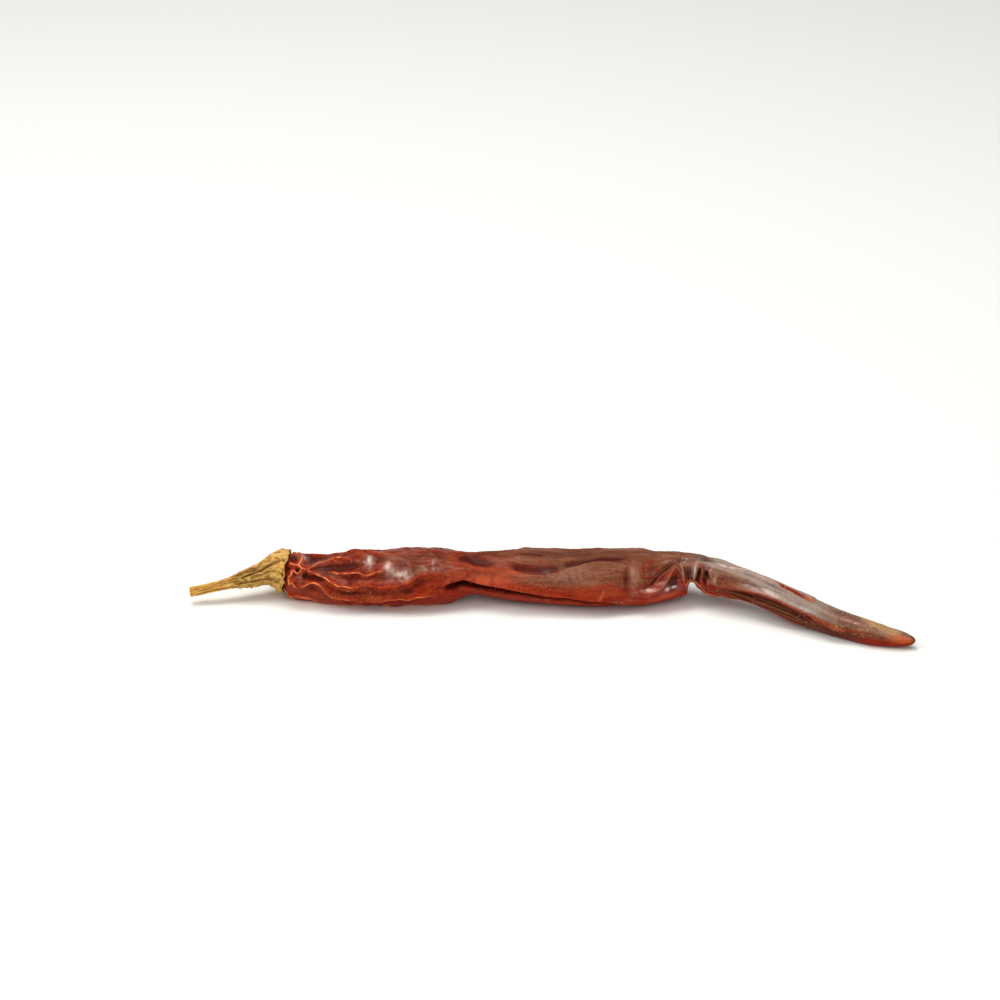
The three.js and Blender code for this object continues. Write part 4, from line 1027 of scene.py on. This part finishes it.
def skin_finish():
    """Dry satin skin: crimson at the shoulder, brown towards the tail, orange where a crest is bleached."""
    f = Finish("dried_skin")
    grain = f.grain()
    crest, warm, hollow, brown, glow, gold = f.fields("crest warm hollow brown glow gold")
    sheen, bloom, rim, stripe, glint = f.fields("sheen bloom rim stripe glint")
    stain, pale, shade, ember, rosy = f.fields("stain pale shade ember rosy")
    along_pod = f.scaled(grain, 0.5, 1, 1)
    cloud = f.noise(along_pod, 0.35, 4, 0.6, 0.6)
    mottle = f.noise(along_pod, 1.6, 5, 0.65, 0.4)
    streak = f.noise(f.scaled(grain, 0.18, 1, 1), 3.0, 4, 0.6)
    stroke = f.noise(f.scaled(grain, 0.14, 1, 1), 0.8, 4, 0.6, 0.5)
    patch = f.noise(f.scaled(grain, 0.7, 1, 1), 0.7, 3, 0.6, 0.8)
    grit = f.noise(grain, 3.2, 2, 0.7)
    speck = f.noise(grain, 9.0, 2, 0.7)
    ripple = f.noise(f.scaled(grain, 0.6, 1, 1), 5.0, 4, 0.6)
    gritty = brown * 0.7 + 0.3
    # Streaks that break up the dark red and painted shade in the middle hollows.
    hollow_streaks = stroke.stepped(0.6, 0.42) * 0.6 + mottle.stepped(0.35, 0.6) * 0.5
    glowing = f.mix(streak.stepped(0.4, 0.6), GLOWING_DARK, GLOWING_LIGHT)
    golden = f.mix(speck.stepped(0.4, 0.6), GOLD_DARK, GOLD_LIGHT)

    # Shade, glow, sheen, highlights and light on lit facets are painted into this colour.
    color = f.painted(
        f.mix(cloud.stepped(0.35, 0.65), CRIMSON, RED),
        (patch.stepped(0.5, 0.64) * 0.55, DUSTY_RED),
        (mottle.stepped(0.5, 0.62) * 0.5, RUST),
        (mottle.stepped(0.48, 0.36) * 0.6, OXBLOOD),
        # Painted glow of light through the thin skin.
        (glow * 0.8, glowing),
        (brown * streak.stepped(0.1, 0.6), BROWN),
        (brown * stroke.stepped(0.5, 0.64) * 0.5, PALE_BROWN),
        (brown * stroke.stepped(0.46, 0.36) * 0.6, RED_BROWN),
        # Painted light, rose-coloured.
        ((rosy * (0.5 + 0.9 * mottle)).clipped(), ROSY_LIGHT),
        (shade * (0.5 + 0.5 * mottle), TAIL_SHADE),
        # Painted sheen: grey reflected light on top of the tail.
        (bloom * (0.6 + 0.8 * streak).clipped(), TAIL_SHEEN_GREY),
        (gritty * grit.stepped(0.52, 0.66) * 0.4, LIGHT_GRIT),
        (gritty * grit.stepped(0.46, 0.32) * 0.5, DARK_GRIT),
        # The middle hollows' dark red, deepened in streaks as painted shade.
        ((stain * hollow_streaks * 1.2).clipped() * 0.92, SHADED_DARK_RED),
        # Painted highlights and some pale dust.
        (pale.clipped() * 0.7, DUST_AND_HIGHLIGHT_PINK),
        ((gold * 0.9 + grit * 1.8 - 1.15).clipped() * 0.9, golden),
        (ember * 0.8, EMBER),
        (warm * 0.4, WARM_RED),
        # Painted shade in low places.
        ((hollow * 1.2).clipped() * 0.85, PAINTED_SHADE_RED),
        (stripe.clipped() * 0.7, STRIPE_LIGHT),
        ((0 - stripe).clipped() * 0.7, STRIPE_DARK),
        # Painted glow low on the near side, and the red edge of the tail.
        (rim * 0.75, RIM_RED),
        # Bleached crests, and a line of painted glow low on the shoulder.
        ((crest.stepped(0.04, 0.68) * (0.75 + 0.5 * mottle)).clipped(), CREST_ORANGE),
        (glint * 0.85, GLINT_WHITE))
    return f.surfaced(
        Base_Color=color,
        Roughness=0.26 + 0.14 * mottle + 0.08 * streak + 0.2 * gold + 0.15 * brown,
        Normal=f.bump(0.5 * streak + 0.6 * mottle + 0.5 * ripple + 0.25 * speck, 0.09 * MM),
        Coat_Weight=(sheen * (0.5 + mottle)).clipped(),
        Coat_Roughness=0.14, Coat_IOR=1.5, IOR=1.5, Specular_IOR_Level=0.06,
        Subsurface_Weight=0.05, Subsurface_Radius=(1.0, 0.25, 0.12), Subsurface_Scale=0.5 * MM)


def wood_finish():
    """Dry woody stalk: tan with brown fibres, olive where it thickens."""
    f = Finish("dried_stalk")
    grain = f.grain()
    groove, ridge, olive, inside = f.fields("groove ridge olive inside")
    fibre = f.noise(f.scaled(grain, 0.5, 1, 1), 5.0, 5, 0.65, 0.3)
    patch = f.noise(grain, 0.9, 4, 0.6, 0.5)
    fleck = f.noise(grain, 14.0, 2, 0.7)
    thread = f.noise(f.scaled(grain, 0.16, 1.2, 1.2), 6.0, 4, 0.6, 0.3)
    ochre, straw, olive_green = srgb(230, 154, 50), srgb(250, 200, 98), srgb(156, 116, 28)
    bark, dark_thread, light_thread = srgb(140, 88, 26), srgb(128, 76, 24), srgb(244, 202, 120)
    ridge_highlight, chaff, deep, shaded = srgb(236, 196, 124), srgb(238, 202, 132), srgb(84, 48, 18), srgb(96, 60, 30)
    # Shade in grooves, pits and the cup, and highlights on ridges, are painted into this colour.
    color = f.painted(
        f.mix(patch.stepped(0.35, 0.65), ochre, straw),
        (olive * 0.85, olive_green),
        (fibre.stepped(0.48, 0.62) * 0.55, bark),
        (thread.stepped(0.5, 0.6) * 0.6, dark_thread),
        (thread.stepped(0.46, 0.38) * 0.35, light_thread),
        # Painted highlights on ridges.
        (ridge * 0.6, ridge_highlight),
        (fleck.stepped(0.56, 0.7) * 0.5, chaff),
        # Painted shade in grooves and pits.
        (groove * 0.75, deep),
        # Painted shade inside the cup.
        (inside, shaded))
    return f.surfaced(
        Base_Color=color,
        Roughness=0.7 + 0.2 * patch,
        Normal=f.bump(fibre + 0.5 * fleck, 0.12 * MM),
        IOR=1.45, Specular_IOR_Level=0.35)


def fleck_finish():
    """Dry grains, golden to pale."""
    f = Finish("dried_grains")
    shade = f.noise(f.grain(), 5.0, 2, 0.6)
    golden, pale = srgb(186, 120, 40), srgb(228, 186, 130)
    return f.surfaced(Base_Color=f.mix(shade.stepped(0.35, 0.65), golden, pale), Roughness=0.6, IOR=1.45)


def table_finish():
    """Matt and nearly white."""
    f = Finish("white_table")
    return f.surfaced(Base_Color=(0.93, 0.925, 0.88, 1), Roughness=0.9, Specular_IOR_Level=0.2)


class Growth(Nodes):
    """A geometry tree with named inputs for its sizes, run on a base piece."""

    def __init__(self, name, **sizes):
        super().__init__(bpy.data.node_groups.new(name, "GeometryNodeTree"))
        self.sizes = {size.replace("_", " "): value for size, value in sizes.items()}
        face = self.tree.interface
        face.new_socket("Geometry", in_out="INPUT", socket_type="NodeSocketGeometry")
        for size, value in self.sizes.items():
            kind = "NodeSocketInt" if isinstance(value, int) else "NodeSocketFloat"
            face.new_socket(size, in_out="INPUT", socket_type=kind).default_value = value
        face.new_socket("Geometry", in_out="OUTPUT", socket_type="NodeSocketGeometry")
        self.inputs = self.node("NodeGroupInput")

    def grown(self, base, name, geometry, material):
        """A plain mesh made by the tree from a base piece."""
        real = self.node("GeometryNodeRealizeInstances", {}, {"Geometry": geometry})["Geometry"]
        finished = {"Geometry": real, "Material": material}
        self.node("NodeGroupOutput", {}, {0: self.node("GeometryNodeSetMaterial", {}, finished)["Geometry"]})
        modifier = base.modifiers.new(name, "NODES")
        modifier.node_group = self.tree
        for item in self.tree.interface.items_tree:
            if item.in_out == "INPUT" and item.name in self.sizes:
                modifier[item.identifier] = self.sizes[item.name]
        depsgraph = bpy.context.evaluated_depsgraph_get()
        mesh = bpy.data.meshes.new_from_object(base.evaluated_get(depsgraph))
        mesh.name = name
        base.modifiers.remove(modifier)
        return placed(name, mesh)


def make_flecks(pod, material):
    """Grains of dried pith and pale scabs that stand up from the skin where its fleck field is strong."""
    g = Growth("flecks", Flecks_per_square_metre=2.6e6, Fleck_size=0.085 * MM, Seed=SEED)
    seed = g.inputs["Seed"]
    field = g.node("GeometryNodeInputNamedAttribute", {"data_type": "FLOAT"}, {"Name": "fleck"})["Attribute"]
    density = field * g.inputs["Flecks per square metre"]
    spread = {"Mesh": g.inputs["Geometry"], "Density": density, "Seed": seed}
    places = g.node("GeometryNodeDistributePointsOnFaces", {"distribute_method": "RANDOM"}, spread)
    ball = {"Radius": g.inputs["Fleck size"], "Subdivisions": 1}
    grain = g.node("GeometryNodeMeshIcoSphere", {}, ball)["Mesh"]
    smallest, largest = (0.5, 0.4, 0.3), (1.7, 1.1, 0.6)
    sizes = {0: smallest, 1: largest, "Seed": seed}
    size = g.node("FunctionNodeRandomValue", {"data_type": "FLOAT_VECTOR"}, sizes)["Value"]
    standing = {"Points": places["Points"], "Instance": grain, "Rotation": places["Rotation"], "Scale": size}
    flecks = g.node("GeometryNodeInstanceOnPoints", {}, standing)["Instances"]
    return g.grown(pod, "skin_flecks", flecks, material)


def make_fibres(stalk_lines, material):
    """Loose fibres that run along the stalk: tubes round guide lines, thin at both ends."""
    g = Growth("fibres", Fibre_radius=0.055 * MM)
    lines = g.node("GeometryNodeMeshToCurve", {}, {"Mesh": g.inputs["Geometry"]})["Curve"]
    run = g.node("GeometryNodeSplineParameter")["Factor"]
    arch = g.node("ShaderNodeMath", {"operation": "SINE"}, {0: run * math.pi})["Value"]
    round_tube = {"Resolution": 5, "Radius": g.inputs["Fibre radius"]}
    ring = g.node("GeometryNodeCurvePrimitiveCircle", {}, round_tube)["Curve"]
    tubes = {"Curve": lines, "Profile Curve": ring, "Scale": arch * 0.8 + 0.2, "Fill Caps": True}
    made = g.node("GeometryNodeCurveToMesh", {}, tubes)["Mesh"]
    return g.grown(stalk_lines, "stalk_fibres", made, material)


def dress(piece, material, node):
    """Gives a piece its material and, where it has one, its node's place."""
    piece.data.materials.clear()
    piece.data.materials.append(material)
    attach(piece, "root")
    if node:
        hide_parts(node)


def make_floor():
    """The white table, wide enough to fill the picture."""
    mesh = bpy.data.meshes.new("floor")
    half = 3.0
    corners = [(-half, -half, 0), (half, -half, 0), (half, half, 0), (-half, half, 0)]
    mesh.from_pydata(corners, [], [(0, 1, 2, 3)])
    mesh.materials.append(table_finish())
    floor = placed("floor", mesh)


def area_light(name, place, size, power):
    """A rectangle of light that faces the pepper."""
    light = bpy.data.lights.new(name, "AREA")
    light.shape = "RECTANGLE"
    light.size, light.size_y = size
    light.energy = power
    lamp = placed(name, light)
    lamp.location = place
    lamp.rotation_euler = (Vector(LIGHT_TARGET) - Vector(place)).to_track_quat("-Z", "Y").to_euler()


def make_lights():
    """A wide soft light in front, a smaller one above that throws the shadow, and one at the stalk's end."""
    world = bpy.data.worlds.new("studio")
    bpy.context.scene.world = world
    world.use_nodes = True
    background = world.node_tree.nodes["Background"]
    background.inputs["Color"].default_value = (1.0, 1.0, 1.0, 1)
    background.inputs["Strength"].default_value = WORLD_LIGHT
    area_light("softbox_above", (-0.1, 0.08, 0.6), (0.35, 0.3), 1.9)
    area_light("softbox_wide", (0.0, -0.35, 0.8), (1.5, 1.3), 5.8)
    area_light("softbox_left", (-0.5, -0.1, 0.4), (0.15, 0.3), 1.1)


def make_camera():
    """A long lens that looks down on the pepper from the front."""
    data = bpy.data.cameras.new("camera")
    data.lens, data.sensor_width = CAMERA_LENS, CAMERA_SENSOR
    data.clip_start = 0.01
    camera = placed("camera", data)
    tilt = Matrix.Rotation(math.radians(90 - CAMERA_ELEVATION), 4, "X")
    camera.matrix_world = Matrix.Translation(Vector(CAMERA_PLACE) * MM) @ tilt
    bpy.context.scene.camera = camera


make_camera()
skin, wood, grains = skin_finish(), wood_finish(), fleck_finish()
pod = make_pod()
flecks = make_flecks(pod, grains)
lines = make_stalk_lines()
fibres = make_fibres(lines, wood)
bpy.data.objects.remove(lines)
dress(pod, skin, "pod")
dress(make_stalk(), wood, "stalk_and_calyx")
dress(flecks, grains, None)
dress(fibres, wood, None)
make_floor()
make_lights()
bpy.context.scene.view_settings.view_transform = "Standard"
